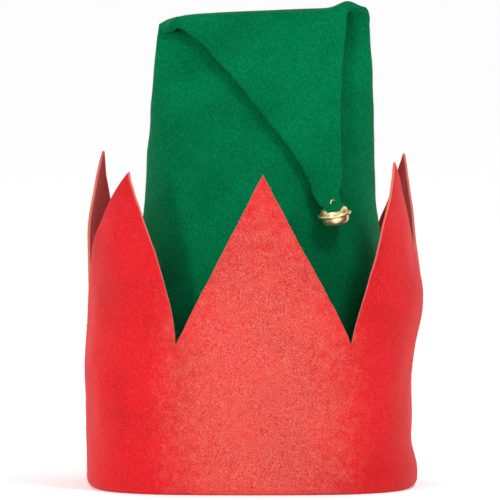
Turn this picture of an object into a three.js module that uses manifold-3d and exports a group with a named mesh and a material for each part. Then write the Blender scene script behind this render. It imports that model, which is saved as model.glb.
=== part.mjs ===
// A felt elf hat. A tall green crown narrows from the head opening to a fold across its top, and its tip
// hangs down in front with a jingle bell. A red band with six tall points is turned up round the crown. Its
// lower edge rolls under the crown's hem and up inside it. Millimetres, +Z up, the hat's front towards -Y.
import * as THREE from "three";
import { mergeVertices } from "three/addons/utils/BufferGeometryUtils.js";
import Module from "manifold-3d";

const wasm = await Module();
wasm.setup();

// Felt
const CROWN_FELT = 1.6; // thickness of the green felt
const BAND_FELT = 1.6; // thickness of the red felt
const SEAT_GAP = 0.3; // air between pieces that touch

// Band
const BAND_HALF_WIDTH = 97; // outside, at the head opening
const BAND_HALF_DEPTH = 89;
const BAND_SQUARENESS = 3.1; // 2 is an ellipse, more is squarer
const NOTCH_HEIGHT = 87; // floor to the bottom of the notches
const POINT_HEIGHT = 187; // floor to the tips of the points
const HEM_ROLL = 4.6; // outside radius of the rolled lower edge
const HEM_LIP = 8.5; // height of the turned-in edge inside the crown
const REST_FLAT = 2.6; // width of the flat that the roll stands on

// Crown
const CROWN_HEIGHT = 278.5; // floor to the top of the fold, at its middle
const FOLD_HALF_WIDTH = 62; // half the length of the fold line
const FOLD_BEND = 5.5; // radius of the fold, to the middle of the flattened crown
const FOLD_HALF_THICK = 4; // half the thickness of the flattened crown
const FOLD_SQUARENESS = 3.2; // of the flattened crown's cross-section

// The tab that the crown's tip ends in, over the bell
const TAB_HALF_WIDTH = 5.6;
const TAB_HALF_THICK = 0.9;
const TAB_BEVEL = 0.6; // share of its size that its end face keeps

// Bell
const BELL_RADIUS = 8;
const BELL_CAP_HEIGHT = 4.8; // crimped rim to the top of the upper shell
const BELL_CUP_DEPTH = 6.2; // crimped rim to the bottom of the slotted shell
const BELL_SHEET = 0.6; // thickness of the shells
const BELL_SQUARENESS = 3.4; // of the shells' side profile
const RIM_WIDTH = 1.6; // how far the crimped rim stands out of the shells
const RIM_THICKNESS = 0.6; // of each shell's share of the rim
const SLOT_REACH = 5; // bell's axis to the round end of a slot
const SLOT_WIDTH = 1.5;
const SLOT_EYE_RADIUS = 1.5; // of a slot's round end
const PELLET_RADIUS = 2.2;
const SHANK_RADIUS = 1.5; // of the loop, to the middle of its wire
const SHANK_WIRE = 0.5; // radius of the wire
const STITCH_RADIUS = 0.3; // of the thread that locks the loop on the felt
const STITCH_LENGTH = 5.6;

// Where the bell hangs
const TIP_DROP = 117.5; // top of the fold to the bell's rim
const BELL_ASIDE = 48.2; // middle of the head opening to the bell, to the right
const BELL_STAND_OFF = 2.4; // air between the bell's rim and the front of the crown
const BELL_TILT = 6; // degrees, its top towards the front
const BELL_ROLL = 10; // degrees, its right side up
const SHANK_TURN = 50; // degrees that the loop is turned from facing the front

// How finely the surfaces are divided
const CROWN_SIDES = 32;
const RING_STEPS = 2; // rings from one station of the crown to the next
const BAND_SIDES = 72;
const BELL_SIDES = 20;
const SHELL_STEPS = 6; // from the rim of a bell shell to its pole

// The crown from its hem to the fold. up is a share of the way up, wide and deep of the hem's half width and
// half depth, aside and back of the hem's half width. square is as BAND_SQUARENESS.
const BODY = [
  { up: 0.0, wide: 1.0, deep: 1.0, aside: 0.0, back: 0.0, square: BAND_SQUARENESS },
  { up: 0.04, wide: 0.995, deep: 0.993, aside: 0.0, back: 0.0, square: BAND_SQUARENESS },
  { up: 0.16, wide: 0.93, deep: 0.9, aside: 0.02, back: 0.01, square: 2.4 },
  { up: 0.32, wide: 0.86, deep: 0.79, aside: 0.04, back: 0.02, square: 2.3 },
  { up: 0.48, wide: 0.785, deep: 0.655, aside: 0.055, back: 0.03, square: 2.2 },
  { up: 0.62, wide: 0.727, deep: 0.51, aside: 0.055, back: 0.035, square: 2.2 },
  { up: 0.73, wide: 0.711, deep: 0.385, aside: 0.057, back: 0.04, square: 2.2 },
  { up: 0.84, wide: 0.698, deep: 0.25, aside: 0.066, back: 0.045, square: 2.3 },
  { up: 0.93, wide: 0.686, deep: 0.127, aside: 0.072, back: 0.055, square: 2.6 },
];

// The turn of the fold. turn is in degrees round the fold, wide a share of its half length, aside of the
// hem's half width, roll in degrees, the right end up.
const FOLD = [
  { turn: 0, wide: 1.0, aside: 0.077, roll: 0 },
  { turn: 45, wide: 1.0, aside: 0.077, roll: 1 },
  { turn: 90, wide: 0.97, aside: 0.076, roll: 2.5 },
  { turn: 130, wide: 0.89, aside: 0.08, roll: 4 },
];

// Where the top of the fold rises or sinks along its length. across runs from -1 at its left end to 1, wide
// is the same share, lift a share of the fold's half length.
const CREST = [
  { across: 0.83, wide: 0.12, lift: 0.068 },
  { across: 1.05, wide: 0.08, lift: 0.04 },
  { across: -1.05, wide: 0.14, lift: -0.045 },
];

// The tip that hangs in front. down and aside are shares of the way from the fold to the bell, out of that
// stretch's length, wide of the fold's half length, thick of its half thickness, roll and yaw in degrees.
const FLAP = [
  { down: -0.06, aside: 0.042, out: 0.0, wide: 0.81, thick: 1.0, roll: 8, yaw: 0 },
  { down: 0.084, aside: 0.244, out: 0.012, wide: 0.63, thick: 0.95, roll: 14, yaw: 3 },
  { down: 0.2, aside: 0.346, out: 0.016, wide: 0.54, thick: 0.92, roll: 15, yaw: 4 },
  { down: 0.341, aside: 0.454, out: 0.018, wide: 0.448, thick: 0.9, roll: 16, yaw: 5 },
  { down: 0.49, aside: 0.572, out: 0.015, wide: 0.36, thick: 0.88, roll: 17, yaw: 6 },
  { down: 0.637, aside: 0.692, out: 0.01, wide: 0.273, thick: 0.82, roll: 17, yaw: 6 },
  { down: 0.817, aside: 0.817, out: 0.0, wide: 0.19, thick: 0.68, roll: 15, yaw: 3 },
  { down: 0.93, aside: 0.883, out: -0.006, wide: 0.155, thick: 0.5, roll: 12, yaw: 1 },
];
const CLOSED_ROWS = 3; // the last rows of the flap, where its two layers lie on each other

// The tab over the bell's upper shell. ahead and above are shares of the shell's radius and height with
// the tab's own clearance, aside and wide of its half width, thick of its half thickness, pitch in degrees.
const TAB = [
  { ahead: -0.6, above: 2.0, aside: -0.5, wide: 1.35, thick: 1.5, pitch: 138 },
  { ahead: -0.08, above: 1.05, aside: -0.2, wide: 1.08, thick: 1.0, pitch: 104 },
  { ahead: 0.5, above: 0.98, aside: 0.0, wide: 1.0, thick: 1.0, pitch: 98 },
  { ahead: 0.86, above: 0.78, aside: 0.0, wide: 0.9, thick: 1.0, pitch: 128 },
  { ahead: 0.97, above: 0.55, aside: 0.0, wide: 0.72, thick: 0.85, pitch: 155 },
];

// Soft dents and swellings of the crown. along and long are shares of its length from hem to tip, round and
// wide of a turn from the right side by the back, depth of the hem's half width, inwards.
const DENTS = [
  { along: 0.22, round: 0.6, long: 0.1, wide: 0.05, depth: 0.024 },
  { along: 0.25, round: 0.86, long: 0.12, wide: 0.05, depth: 0.027 },
  { along: 0.16, round: 0.2, long: 0.1, wide: 0.06, depth: 0.026 },
  { along: 0.2, round: 0.36, long: 0.12, wide: 0.05, depth: -0.017 },
  { along: 0.3, round: 0.97, long: 0.08, wide: 0.04, depth: 0.017 },
];

// How the band sways out and in with its height. up is a share of the point height, left, right, front and
// back of the half width or half depth.
const SWAY = [
  { up: 0.0, left: 1.0, right: 1.0, front: 1.0, back: 1.0 },
  { up: 0.06, left: 1.0, right: 1.0, front: 1.0, back: 1.0 },
  { up: 0.13, left: 1.0, right: 0.968, front: 1.0, back: 0.995 },
  { up: 0.2, left: 1.005, right: 0.965, front: 1.0, back: 0.99 },
  { up: 0.38, left: 1.01, right: 0.975, front: 0.995, back: 0.99 },
  { up: 0.58, left: 0.995, right: 1.035, front: 1.0, back: 1.0 },
  { up: 0.82, left: 1.01, right: 0.995, front: 1.01, back: 1.02 },
  { up: 1.0, left: 1.0, right: 0.985, front: 1.0, back: 1.02 },
];

// The six points, from the front one to the right. at is the tip's share of the way round, tall a share of
// the point height, lean and swing of the half width, outwards and on round the band, at the tip. before and
// after are the cut of its two flanks, where 1 is straight and less is convex.
const POINTS = [
  { at: 0.01, tall: 0.998, lean: 0.0, swing: 0.0, before: 1.0, after: 1.0 },
  { at: 0.175, tall: 1.025, lean: -0.07, swing: -0.02, before: 0.66, after: 0.9 },
  { at: 0.345, tall: 1.025, lean: 0.02, swing: -0.05, before: 0.85, after: 1.0 },
  { at: 0.512, tall: 1.02, lean: 0.01, swing: 0.0, before: 1.0, after: 1.0 },
  { at: 0.672, tall: 1.035, lean: -0.035, swing: 0.02, before: 0.85, after: 0.74 },
  { at: 0.848, tall: 1.0, lean: -0.07, swing: 0.15, before: 0.74, after: 0.72 },
];
const POINT_ROWS = [0, 0.08, 0.24, 0.45, 0.68, 0.86, 1]; // shares of the way from the roll to the cut edge

// The crown's hem stands in the middle of the band's roll.
const HEM_SET_IN = HEM_ROLL - CROWN_FELT / 2;
const HEM_HALF_WIDTH = BAND_HALF_WIDTH - HEM_SET_IN;
const HEM_HALF_DEPTH = BAND_HALF_DEPTH - HEM_SET_IN;
const ROLL_INSIDE = HEM_ROLL - BAND_FELT;
const HEM_UP = HEM_ROLL - Math.sqrt(ROLL_INSIDE ** 2 - (CROWN_FELT / 2) ** 2) + 3 * SEAT_GAP;
const FOLD_UP = CROWN_HEIGHT - FOLD_BEND - FOLD_HALF_THICK;

// Heights over the bell's rim of the tab, the stitch and the middle of the loop's bend
const TAB_UP = BELL_CAP_HEIGHT + SEAT_GAP + TAB_HALF_THICK;
const STITCH_UP = TAB_UP + TAB_HALF_THICK + SEAT_GAP + STITCH_RADIUS;
const SHANK_UP = STITCH_UP + STITCH_RADIUS + SEAT_GAP + SHANK_WIRE - SHANK_RADIUS;

const { degToRad: radians, radToDeg: degrees, lerp } = THREE.MathUtils;

// A smooth curve through a table's rows, as a function from a place among them to all their columns.
function smoothTable(rows, places) {
  const columns = Object.keys(rows[0]);
  const values = rows.flatMap((row) => columns.map((column) => row[column]));
  const curve = new THREE.CubicInterpolant(places, values, columns.length);
  return (place) => {
    const found = curve.evaluate(place);
    return Object.fromEntries(columns.map((column, i) => [column, found[i]]));
  };
}

// A point of a superellipse with half sizes 1, at an angle in radians.
function superellipse(angle, squareness) {
  const bend = (value) => Math.sign(value) * Math.abs(value) ** (2 / squareness);
  return [bend(Math.cos(angle)), bend(Math.sin(angle))];
}

// Rings of equally many points, in the same turn, joined into one closed surface. The first and the last
// ring close on the two poles, or on each other where none are given.
function closedSurface(rings, poles = []) {
  const sides = rings[0].length;
  const triangles = [];
  rings.forEach((_, r) => {
    if (poles.length && r === rings.length - 1) return;
    const here = r * sides;
    const next = ((r + 1) % rings.length) * sides;
    for (let s = 0; s < sides; s++) {
      const t = (s + 1) % sides;
      triangles.push(here + s, here + t, next + t, here + s, next + t, next + s);
    }
  });
  const pole = rings.length * sides;
  const last = pole - sides;
  for (let s = 0; poles.length && s < sides; s++) {
    const t = (s + 1) % sides;
    triangles.push(pole, t, s, pole + 1, last + s, last + t);
  }
  return new THREE.BufferGeometry().setFromPoints([...rings.flat(), ...poles]).setIndex(triangles);
}

// A geometry as a solid for joining and cutting.
function toSolid(geometry) {
  const bare = new THREE.BufferGeometry();
  bare.setAttribute("position", geometry.getAttribute("position"));
  if (geometry.index) bare.setIndex(geometry.index);
  const merged = mergeVertices(bare, 1e-4);
  const vertProperties = merged.attributes.position.array;
  const triVerts = new Uint32Array(merged.index.array);
  return new wasm.Manifold(new wasm.Mesh({ numProp: 3, vertProperties, triVerts }));
}

// A solid as a geometry.
function toGeometry(solid) {
  const mesh = solid.getMesh();
  const geometry = new THREE.BufferGeometry();
  geometry.setAttribute("position", new THREE.BufferAttribute(mesh.vertProperties, 3));
  geometry.setIndex(new THREE.BufferAttribute(mesh.triVerts, 1));
  geometry.computeVertexNormals();
  return geometry;
}

// How far back the front of the crown lies at a place across the hat and a height.
function crownFront(x, z) {
  const up = (z - HEM_UP) / (FOLD_UP - HEM_UP);
  const section = smoothTable(
    BODY,
    BODY.map((row) => row.up),
  )(up);
  const across = Math.abs(x / HEM_HALF_WIDTH - section.aside) / section.wide;
  const deep = section.deep * HEM_HALF_DEPTH * (1 - across ** section.square) ** (1 / section.square);
  return section.back * HEM_HALF_WIDTH - deep;
}

// The bell's own frame: across, back and up along its axis, from the middle of its rim.
function bellFrame() {
  const up = CROWN_HEIGHT - TIP_DROP;
  const back = crownFront(BELL_ASIDE, up) - BELL_STAND_OFF - RIM_WIDTH - BELL_RADIUS;
  return new THREE.Matrix4()
    .makeTranslation(BELL_ASIDE, back, up)
    .multiply(new THREE.Matrix4().makeRotationY(-radians(BELL_ROLL)))
    .multiply(new THREE.Matrix4().makeRotationX(radians(BELL_TILT)));
}

// The cross-sections of the standing crown.
function bodyStations() {
  return BODY.map((row) => ({
    x: row.aside * HEM_HALF_WIDTH,
    y: row.back * HEM_HALF_WIDTH,
    z: lerp(HEM_UP, FOLD_UP, row.up),
    pitch: 0,
    roll: 0,
    yaw: 0,
    wide: row.wide * HEM_HALF_WIDTH,
    deep: row.deep * HEM_HALF_DEPTH,
    square: row.square,
    crest: 0,
  }));
}

// The cross-sections round the fold.
function foldStations() {
  return FOLD.map((row) => ({
    x: row.aside * HEM_HALF_WIDTH,
    y: FOLD_BEND * Math.cos(radians(row.turn)),
    z: FOLD_UP + FOLD_BEND * Math.sin(radians(row.turn)),
    pitch: row.turn,
    roll: row.roll,
    yaw: 0,
    wide: row.wide * FOLD_HALF_WIDTH,
    deep: FOLD_HALF_THICK,
    square: FOLD_SQUARENESS,
    crest: Math.sin(radians(row.turn)) ** 2,
  }));
}

// The cross-sections of the tab over the bell.
function tabStations(bell) {
  const clear = SEAT_GAP + TAB_HALF_THICK;
  return TAB.map((row) => {
    const ahead = row.ahead * (BELL_RADIUS + clear);
    const above = row.above * (BELL_CAP_HEIGHT + clear);
    const middle = new THREE.Vector3(row.aside * TAB_HALF_WIDTH, -ahead, above).applyMatrix4(bell);
    return {
      x: middle.x,
      y: middle.y,
      z: middle.z,
      pitch: row.pitch + BELL_TILT,
      roll: BELL_ROLL,
      yaw: 0,
      wide: row.wide * TAB_HALF_WIDTH,
      deep: row.thick * TAB_HALF_THICK,
      square: FOLD_SQUARENESS,
      crest: 0,
    };
  });
}

// The cross-sections of the hanging tip, from the fold to the tab.
function flapStations(tab) {
  const start = new THREE.Vector3(FOLD.at(-1).aside * HEM_HALF_WIDTH, -FOLD_BEND, FOLD_UP - FOLD_BEND / 2);
  const drop = start.z - tab.z;
  const lead = start.y - tab.y;
  return FLAP.map((row) => ({
    x: lerp(start.x, BELL_ASIDE, row.aside),
    y: lerp(start.y, tab.y, row.down) - row.out * Math.hypot(drop, lead),
    z: lerp(start.z, tab.z, row.down),
    pitch: 180 - degrees(Math.atan2(lead, drop)),
    roll: row.roll,
    yaw: row.yaw,
    wide: row.wide * FOLD_HALF_WIDTH,
    deep: row.thick * FOLD_HALF_THICK,
    square: FOLD_SQUARENESS,
    crest: 0,
  }));
}

// How far the top of the fold is lifted at a share across it.
function crestLift(across) {
  const lifts = CREST.map((rise) => rise.lift * Math.exp(-(((across - rise.across) / rise.wide) ** 2)));
  return FOLD_HALF_WIDTH * lifts.reduce((sum, lift) => sum + lift);
}

// How deep the dents are at a share of the crown's length and a share of a turn round it.
function dentDepth(along, round) {
  const depths = DENTS.map((dent) => {
    const apart = Math.abs(round - dent.round);
    const beside = Math.min(apart, 1 - apart) / dent.wide;
    const beyond = (along - dent.along) / dent.long;
    return dent.depth * Math.exp(-(beside ** 2) - beyond ** 2);
  });
  return HEM_HALF_WIDTH * depths.reduce((sum, depth) => sum + depth);
}

// One ring of the crown at a station: the outside of its felt, or the inside when set in by its thickness.
function crownRing(station, setIn, along) {
  const frame = new THREE.Matrix4()
    .makeTranslation(station.x, station.y, station.z)
    .multiply(new THREE.Matrix4().makeRotationZ(radians(station.yaw)))
    .multiply(new THREE.Matrix4().makeRotationY(-radians(station.roll)))
    .multiply(new THREE.Matrix4().makeRotationX(radians(station.pitch)));
  return Array.from({ length: CROWN_SIDES }, (_, side) => {
    const round = side / CROWN_SIDES;
    const [across, through] = superellipse(2 * Math.PI * round, station.square);
    const dent = new THREE.Vector3(across / station.wide, through / station.deep, 0)
      .normalize()
      .multiplyScalar(dentDepth(along, round));
    const point = new THREE.Vector3(across * (station.wide - setIn), through * (station.deep - setIn), 0)
      .sub(dent)
      .applyMatrix4(frame);
    point.z += crestLift(across) * station.crest;
    return point;
  });
}

// The crown's felt: up its inside from the closed tip to the hem, and on its outside to the end of the tab.
function crownWall(bell) {
  const tab = tabStations(bell);
  const stations = [...bodyStations(), ...foldStations(), ...flapStations(tab[0]), ...tab];
  const middles = stations.map((station) => new THREE.Vector3(station.x, station.y, station.z));
  const places = [0];
  for (let i = 1; i < middles.length; i++) {
    places.push(places[i - 1] + middles[i].distanceTo(middles[i - 1]));
  }
  const at = smoothTable(stations, places);
  const length = places.at(-1);
  const hollow = stations.length - TAB.length - CLOSED_ROWS;
  const inside = [];
  const outside = [];
  for (let i = 0; i < (stations.length - 1) * RING_STEPS; i++) {
    const row = Math.floor(i / RING_STEPS);
    const place = lerp(places[row], places[row + 1], (i % RING_STEPS) / RING_STEPS);
    outside.push(crownRing(at(place), 0, place / length));
    if (row <= hollow) inside.push(crownRing(at(place), CROWN_FELT, place / length));
  }
  const tip = at(length);
  outside.push(crownRing(tip, 0, 1));
  outside.push(crownRing({ ...tip, wide: tip.wide * TAB_BEVEL, deep: tip.deep * TAB_BEVEL }, 0, 1));
  const rings = [...inside.reverse(), ...outside];
  return closedSurface(rings, [middleOf(rings[0]), middleOf(rings.at(-1))]);
}

// The middle of a ring of points.
function middleOf(ring) {
  return ring.reduce((sum, point) => sum.add(point), new THREE.Vector3()).divideScalar(ring.length);
}

// The slit in the tab that the bell's loop passes through.
function loopSlit() {
  const wide = 2 * (SHANK_RADIUS + SHANK_WIRE + SEAT_GAP);
  const thick = 2 * (SHANK_WIRE + SEAT_GAP);
  const tall = 6 * TAB_HALF_THICK;
  return new THREE.BoxGeometry(wide, thick, tall).rotateZ(radians(SHANK_TURN)).translate(0, 0, TAB_UP);
}

// The crown: one felt wall round an open hollow, folded over flat at the top, with the slit in its tip.
function makeCrown(bell) {
  return toGeometry(toSolid(crownWall(bell)).subtract(toSolid(loopSlit().applyMatrix4(bell))));
}

// The band's outline at the floor, as a function from a share of the way round, from the front to the right.
function bandOutline() {
  const fine = 720;
  const outline = Array.from({ length: fine + 1 }, (_, i) => {
    const [across, back] = superellipse((2 * Math.PI * i) / fine - Math.PI / 2, BAND_SQUARENESS);
    return new THREE.Vector3(across * BAND_HALF_WIDTH, back * BAND_HALF_DEPTH, 0);
  });
  const lengths = [0];
  for (let i = 1; i <= fine; i++) lengths.push(lengths[i - 1] + outline[i].distanceTo(outline[i - 1]));
  return (share) => {
    const wanted = THREE.MathUtils.euclideanModulo(share, 1) * lengths[fine];
    const i = lengths.findIndex((length) => length > wanted);
    const part = (wanted - lengths[i - 1]) / (lengths[i] - lengths[i - 1]);
    return outline[i - 1].clone().lerp(outline[i], part);
  };
}

// The band's columns, which stand at its tips, its notches and even steps between them. share is the way
// round, rise the cut's height from 0 at a notch to 1 at a tip, and point the one that the column is part of.
function bandColumns() {
  const corners = POINTS.flatMap((point, i) => {
    const lap = i + 1 === POINTS.length ? 1 : 0;
    const next = POINTS[(i + 1) % POINTS.length].at + lap;
    return [
      { share: point.at, rise: 1, point },
      { share: (point.at + next) / 2, rise: 0 },
    ];
  });
  const steps = BAND_SIDES / corners.length;
  return corners.flatMap((corner, i) => {
    const next = corners[(i + 1) % corners.length];
    const lap = i + 1 === corners.length ? 1 : 0;
    const point = corner.point ?? next.point;
    const cut = corner.point ? point.after : point.before;
    return Array.from({ length: steps }, (_, step) => ({
      share: lerp(corner.share, next.share + lap, step / steps),
      rise: lerp(corner.rise, next.rise, step / steps) ** cut,
      point,
    }));
  });
}

// The place on the band in a column, at a height and set in from its outside.
function bandPoint(outline, sway, column, setIn, z) {
  const step = 1 / 240;
  const here = outline(column.share);
  const along = outline(column.share + step)
    .sub(outline(column.share - step))
    .normalize();
  const out = new THREE.Vector3(along.y, -along.x, 0);
  const level = sway(Math.min(z / POINT_HEIGHT, 1));
  const right = (1 + here.x / BAND_HALF_WIDTH) / 2;
  const back = (1 + here.y / BAND_HALF_DEPTH) / 2;
  const rise = Math.max(0, (z - NOTCH_HEIGHT) / (POINT_HEIGHT - NOTCH_HEIGHT));
  const lean = column.point.lean * rise ** 2 * BAND_HALF_WIDTH;
  const swing = column.point.swing * rise * BAND_HALF_WIDTH;
  return new THREE.Vector3(
    here.x * lerp(level.left, level.right, right),
    here.y * lerp(level.front, level.back, back),
    z,
  )
    .addScaledVector(out, lean - setIn)
    .addScaledVector(along, swing);
}

// The band: a felt wall cut into points, rolled under at the floor and turned up inside the crown.
function makeBand() {
  const outline = bandOutline();
  const columns = bandColumns();
  const sway = smoothTable(
    SWAY,
    SWAY.map((level) => level.up),
  );
  const ring = ([setIn, z]) => columns.map((column) => bandPoint(outline, sway, column, setIn, z));
  const roll = (radius, turn) => [
    HEM_ROLL - radius * Math.cos(radians(turn)),
    HEM_ROLL - radius * Math.sin(radians(turn)),
  ];
  const row = (setIn, share) =>
    columns.map((column) => {
      const top = lerp(NOTCH_HEIGHT, column.point.tall * POINT_HEIGHT, column.rise);
      return bandPoint(outline, sway, column, setIn, lerp(HEM_ROLL, top, share));
    });
  const farSide = 2 * HEM_ROLL;
  const underside = [
    [farSide - BAND_FELT, HEM_LIP],
    [farSide, HEM_LIP],
    roll(HEM_ROLL, 180),
    roll(HEM_ROLL, 135),
    [HEM_ROLL + REST_FLAT / 2, 0],
    [HEM_ROLL - REST_FLAT / 2, 0],
    roll(HEM_ROLL, 45),
  ];
  const trough = [30, 60, 90, 120, 150, 180].map((turn) => roll(ROLL_INSIDE, turn));
  return closedSurface([
    ...underside.map(ring),
    ...POINT_ROWS.map((share) => row(0, share)),
    ...POINT_ROWS.toReversed().map((share) => row(BAND_FELT, share)),
    ...trough.map(ring),
  ]);
}

// A shell of the bell with its share of the rim, turned about the bell's axis. It opens downwards.
function bellShell(height) {
  const profile = (radius, top, least) =>
    Array.from({ length: SHELL_STEPS + 1 }, (_, i) => {
      const [out, up] = superellipse((Math.PI / 2) * (i / SHELL_STEPS), BELL_SQUARENESS);
      return new THREE.Vector2(i === SHELL_STEPS ? 0 : out * radius, Math.max(up * top, least));
    });
  const edge = BELL_RADIUS + RIM_WIDTH;
  const outside = profile(BELL_RADIUS, height, RIM_THICKNESS);
  const inside = profile(BELL_RADIUS - BELL_SHEET, height - BELL_SHEET, SEAT_GAP / 2).reverse();
  const rim = [new THREE.Vector2(edge, SEAT_GAP / 2), new THREE.Vector2(edge, RIM_THICKNESS)];
  return new THREE.LatheGeometry([...inside, ...rim, ...outside], BELL_SIDES).rotateX(Math.PI / 2);
}

// The upper shell with its wire loop, which reaches up through the crown's tip.
function makeBellCap() {
  const foot = BELL_CAP_HEIGHT - BELL_SHEET / 2;
  const bend = Array.from({ length: 9 }, (_, i) => {
    const angle = Math.PI * (1 - i / 8);
    return new THREE.Vector3(SHANK_RADIUS * Math.cos(angle), 0, SHANK_UP + SHANK_RADIUS * Math.sin(angle));
  });
  const path = new THREE.CurvePath();
  path.add(new THREE.LineCurve3(new THREE.Vector3(-SHANK_RADIUS, 0, foot), bend[0]));
  path.add(new THREE.CatmullRomCurve3(bend));
  path.add(new THREE.LineCurve3(bend[8], new THREE.Vector3(SHANK_RADIUS, 0, foot)));
  const wire = new THREE.Shape().absarc(0, 0, SHANK_WIRE, 0, 2 * Math.PI);
  const loop = new THREE.ExtrudeGeometry(wire, { steps: 20, curveSegments: 4, extrudePath: path });
  return toGeometry(toSolid(bellShell(BELL_CAP_HEIGHT)).add(toSolid(loop.rotateZ(radians(SHANK_TURN)))));
}

// The lower shell with two crossed slots that end in round eyes.
function makeBellCup() {
  let cup = toSolid(bellShell(BELL_CUP_DEPTH));
  for (const turn of [radians(45), radians(135)]) {
    const cutters = [new THREE.BoxGeometry(2 * SLOT_REACH, SLOT_WIDTH, BELL_CUP_DEPTH)];
    for (const end of [-SLOT_REACH, SLOT_REACH]) {
      const eye = new THREE.CylinderGeometry(SLOT_EYE_RADIUS, SLOT_EYE_RADIUS, BELL_CUP_DEPTH, 12);
      cutters.push(eye.rotateX(Math.PI / 2).translate(end, 0, 0));
    }
    for (const cutter of cutters) {
      cup = cup.subtract(toSolid(cutter.rotateZ(turn).translate(0, 0, BELL_CUP_DEPTH)));
    }
  }
  return toGeometry(cup).rotateX(Math.PI);
}

// The ball that rings, at rest in the bottom of the cup.
function makePellet() {
  const up = BELL_SHEET + SEAT_GAP + PELLET_RADIUS - BELL_CUP_DEPTH;
  return new THREE.SphereGeometry(PELLET_RADIUS, 12, 8).translate(0, 0, up);
}

// The thread that runs through the loop and lies on the felt at both sides of it.
function makeStitch() {
  const thread = new THREE.CylinderGeometry(STITCH_RADIUS, STITCH_RADIUS, STITCH_LENGTH, 8);
  return thread.rotateZ(Math.PI / 2).translate(0, 0, STITCH_UP);
}

const green = new THREE.MeshStandardMaterial({ color: 0x02744a, roughness: 0.95 });
const red = new THREE.MeshStandardMaterial({ color: 0xe22e35, roughness: 0.95 });
const gold = new THREE.MeshStandardMaterial({ color: 0xd8b25a, roughness: 0.3, metalness: 1 });
const steel = new THREE.MeshStandardMaterial({ color: 0x9a9a98, roughness: 0.35, metalness: 1 });

const hat = new THREE.Group();

function addPiece(name, geometry, material) {
  const mesh = new THREE.Mesh(geometry, material);
  mesh.name = name;
  hat.add(mesh);
}

const bell = bellFrame();
addPiece("crown", makeCrown(bell), green);
addPiece("band", makeBand(), red);
addPiece("bell_cap", makeBellCap().applyMatrix4(bell), gold);
addPiece("bell_cup", makeBellCup().applyMatrix4(bell), gold);
addPiece("bell_pellet", makePellet().applyMatrix4(bell), steel);
addPiece("bell_stitch", makeStitch().applyMatrix4(bell), green);

// The hat's origin is the middle of its footprint, on the floor.
const bounds = new THREE.Box3().setFromObject(hat);
const middle = bounds.getCenter(new THREE.Vector3());
hat.position.set(-middle.x, -middle.y, -bounds.min.z);

export default hat;
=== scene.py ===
"""The looks of a felt elf hat.

A tall green crown is folded over at the top, and its tip hangs in front with a jingle bell. A red band with
six points is turned up round it. Sizes are in millimetres and become metres where a mesh is made, but the
studio's are in metres. The front of the hat looks towards -Y.
"""

import logging
import math
import sys
from dataclasses import dataclass, field
from enum import Enum

import bmesh
import bpy
import numpy as np
from mathutils import Matrix, Vector

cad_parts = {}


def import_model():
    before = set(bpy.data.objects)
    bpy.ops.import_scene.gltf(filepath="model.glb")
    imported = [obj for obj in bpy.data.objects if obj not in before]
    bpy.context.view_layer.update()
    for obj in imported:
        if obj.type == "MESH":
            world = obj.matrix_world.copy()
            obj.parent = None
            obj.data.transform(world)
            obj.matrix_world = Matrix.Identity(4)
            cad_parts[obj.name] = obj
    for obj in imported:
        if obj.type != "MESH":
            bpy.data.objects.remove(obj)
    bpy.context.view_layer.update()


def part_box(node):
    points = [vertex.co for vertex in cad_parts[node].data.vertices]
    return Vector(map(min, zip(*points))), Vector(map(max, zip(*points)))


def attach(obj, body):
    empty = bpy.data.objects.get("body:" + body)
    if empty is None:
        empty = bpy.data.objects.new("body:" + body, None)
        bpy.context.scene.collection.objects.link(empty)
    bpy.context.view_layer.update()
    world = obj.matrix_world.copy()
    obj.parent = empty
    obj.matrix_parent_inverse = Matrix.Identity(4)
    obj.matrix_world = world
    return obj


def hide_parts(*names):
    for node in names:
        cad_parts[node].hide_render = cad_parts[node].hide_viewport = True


LOG = logging.getLogger("elf_hat")
MM = 0.001
TAU = 2 * math.pi
OPENING_MIDDLE = Vector((-1.227, -0.973, 0.0))  # the middle of the head opening, in the shared frame

Columns = dict[str, np.ndarray]
Inputs = dict[str | int, object]
Piece = bpy.types.Object
Socket = bpy.types.NodeSocket
Colour = tuple[float, float, float, float]


class Seam(Enum):
    """Where the crown's two seams run, as a share of a turn from the right."""

    RIGHT = 0.0
    LEFT = 0.5


def srgb(red: int, green: int, blue: int) -> Colour:
    """Turns a display colour into the linear colour that a shader takes.

    Args:
        red: Red from 0 to 255.
        green: Green from 0 to 255.
        blue: Blue from 0 to 255.

    Returns:
        The linear colour with full alpha.
    """

    def linear(value: int) -> float:
        """Turns one channel linear."""
        share = value / 255
        return share / 12.92 if share <= 0.04045 else ((share + 0.055) / 1.055) ** 2.4

    return (linear(red), linear(green), linear(blue), 1.0)


def table(names: str, rows: list[tuple[float, ...]]) -> Columns:
    """Names the columns of a table, from their names parted by spaces."""
    columns = np.array(rows, dtype=float).T
    return dict(zip(names.split(), columns, strict=True))


def smooth(rows: Columns, places: np.ndarray, wanted: np.ndarray) -> Columns:
    """Runs a smooth curve through the rows of a table.

    Args:
        rows: The table's columns.
        places: Where each row stands, rising.
        wanted: The places to read the curve at.

    Returns:
        Each column's values at the wanted places.
    """
    values = np.stack(list(rows.values()), axis=1)
    steps = np.diff(places)
    slopes = np.diff(values, axis=0) / steps[:, None]
    tangents = np.vstack([slopes[:1], (slopes[1:] + slopes[:-1]) / 2, slopes[-1:]])
    index = np.clip(np.searchsorted(places, wanted, side="right") - 1, 0, len(steps) - 1)
    step = steps[index][:, None]
    t = (wanted - places[index])[:, None] / step
    found = (
        (2 * t**3 - 3 * t**2 + 1) * values[index]
        + (t**3 - 2 * t**2 + t) * step * tangents[index]
        + (3 * t**2 - 2 * t**3) * values[index + 1]
        + (t**3 - t**2) * step * tangents[index + 1]
    )
    return dict(zip(rows, found.T, strict=True))


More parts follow.
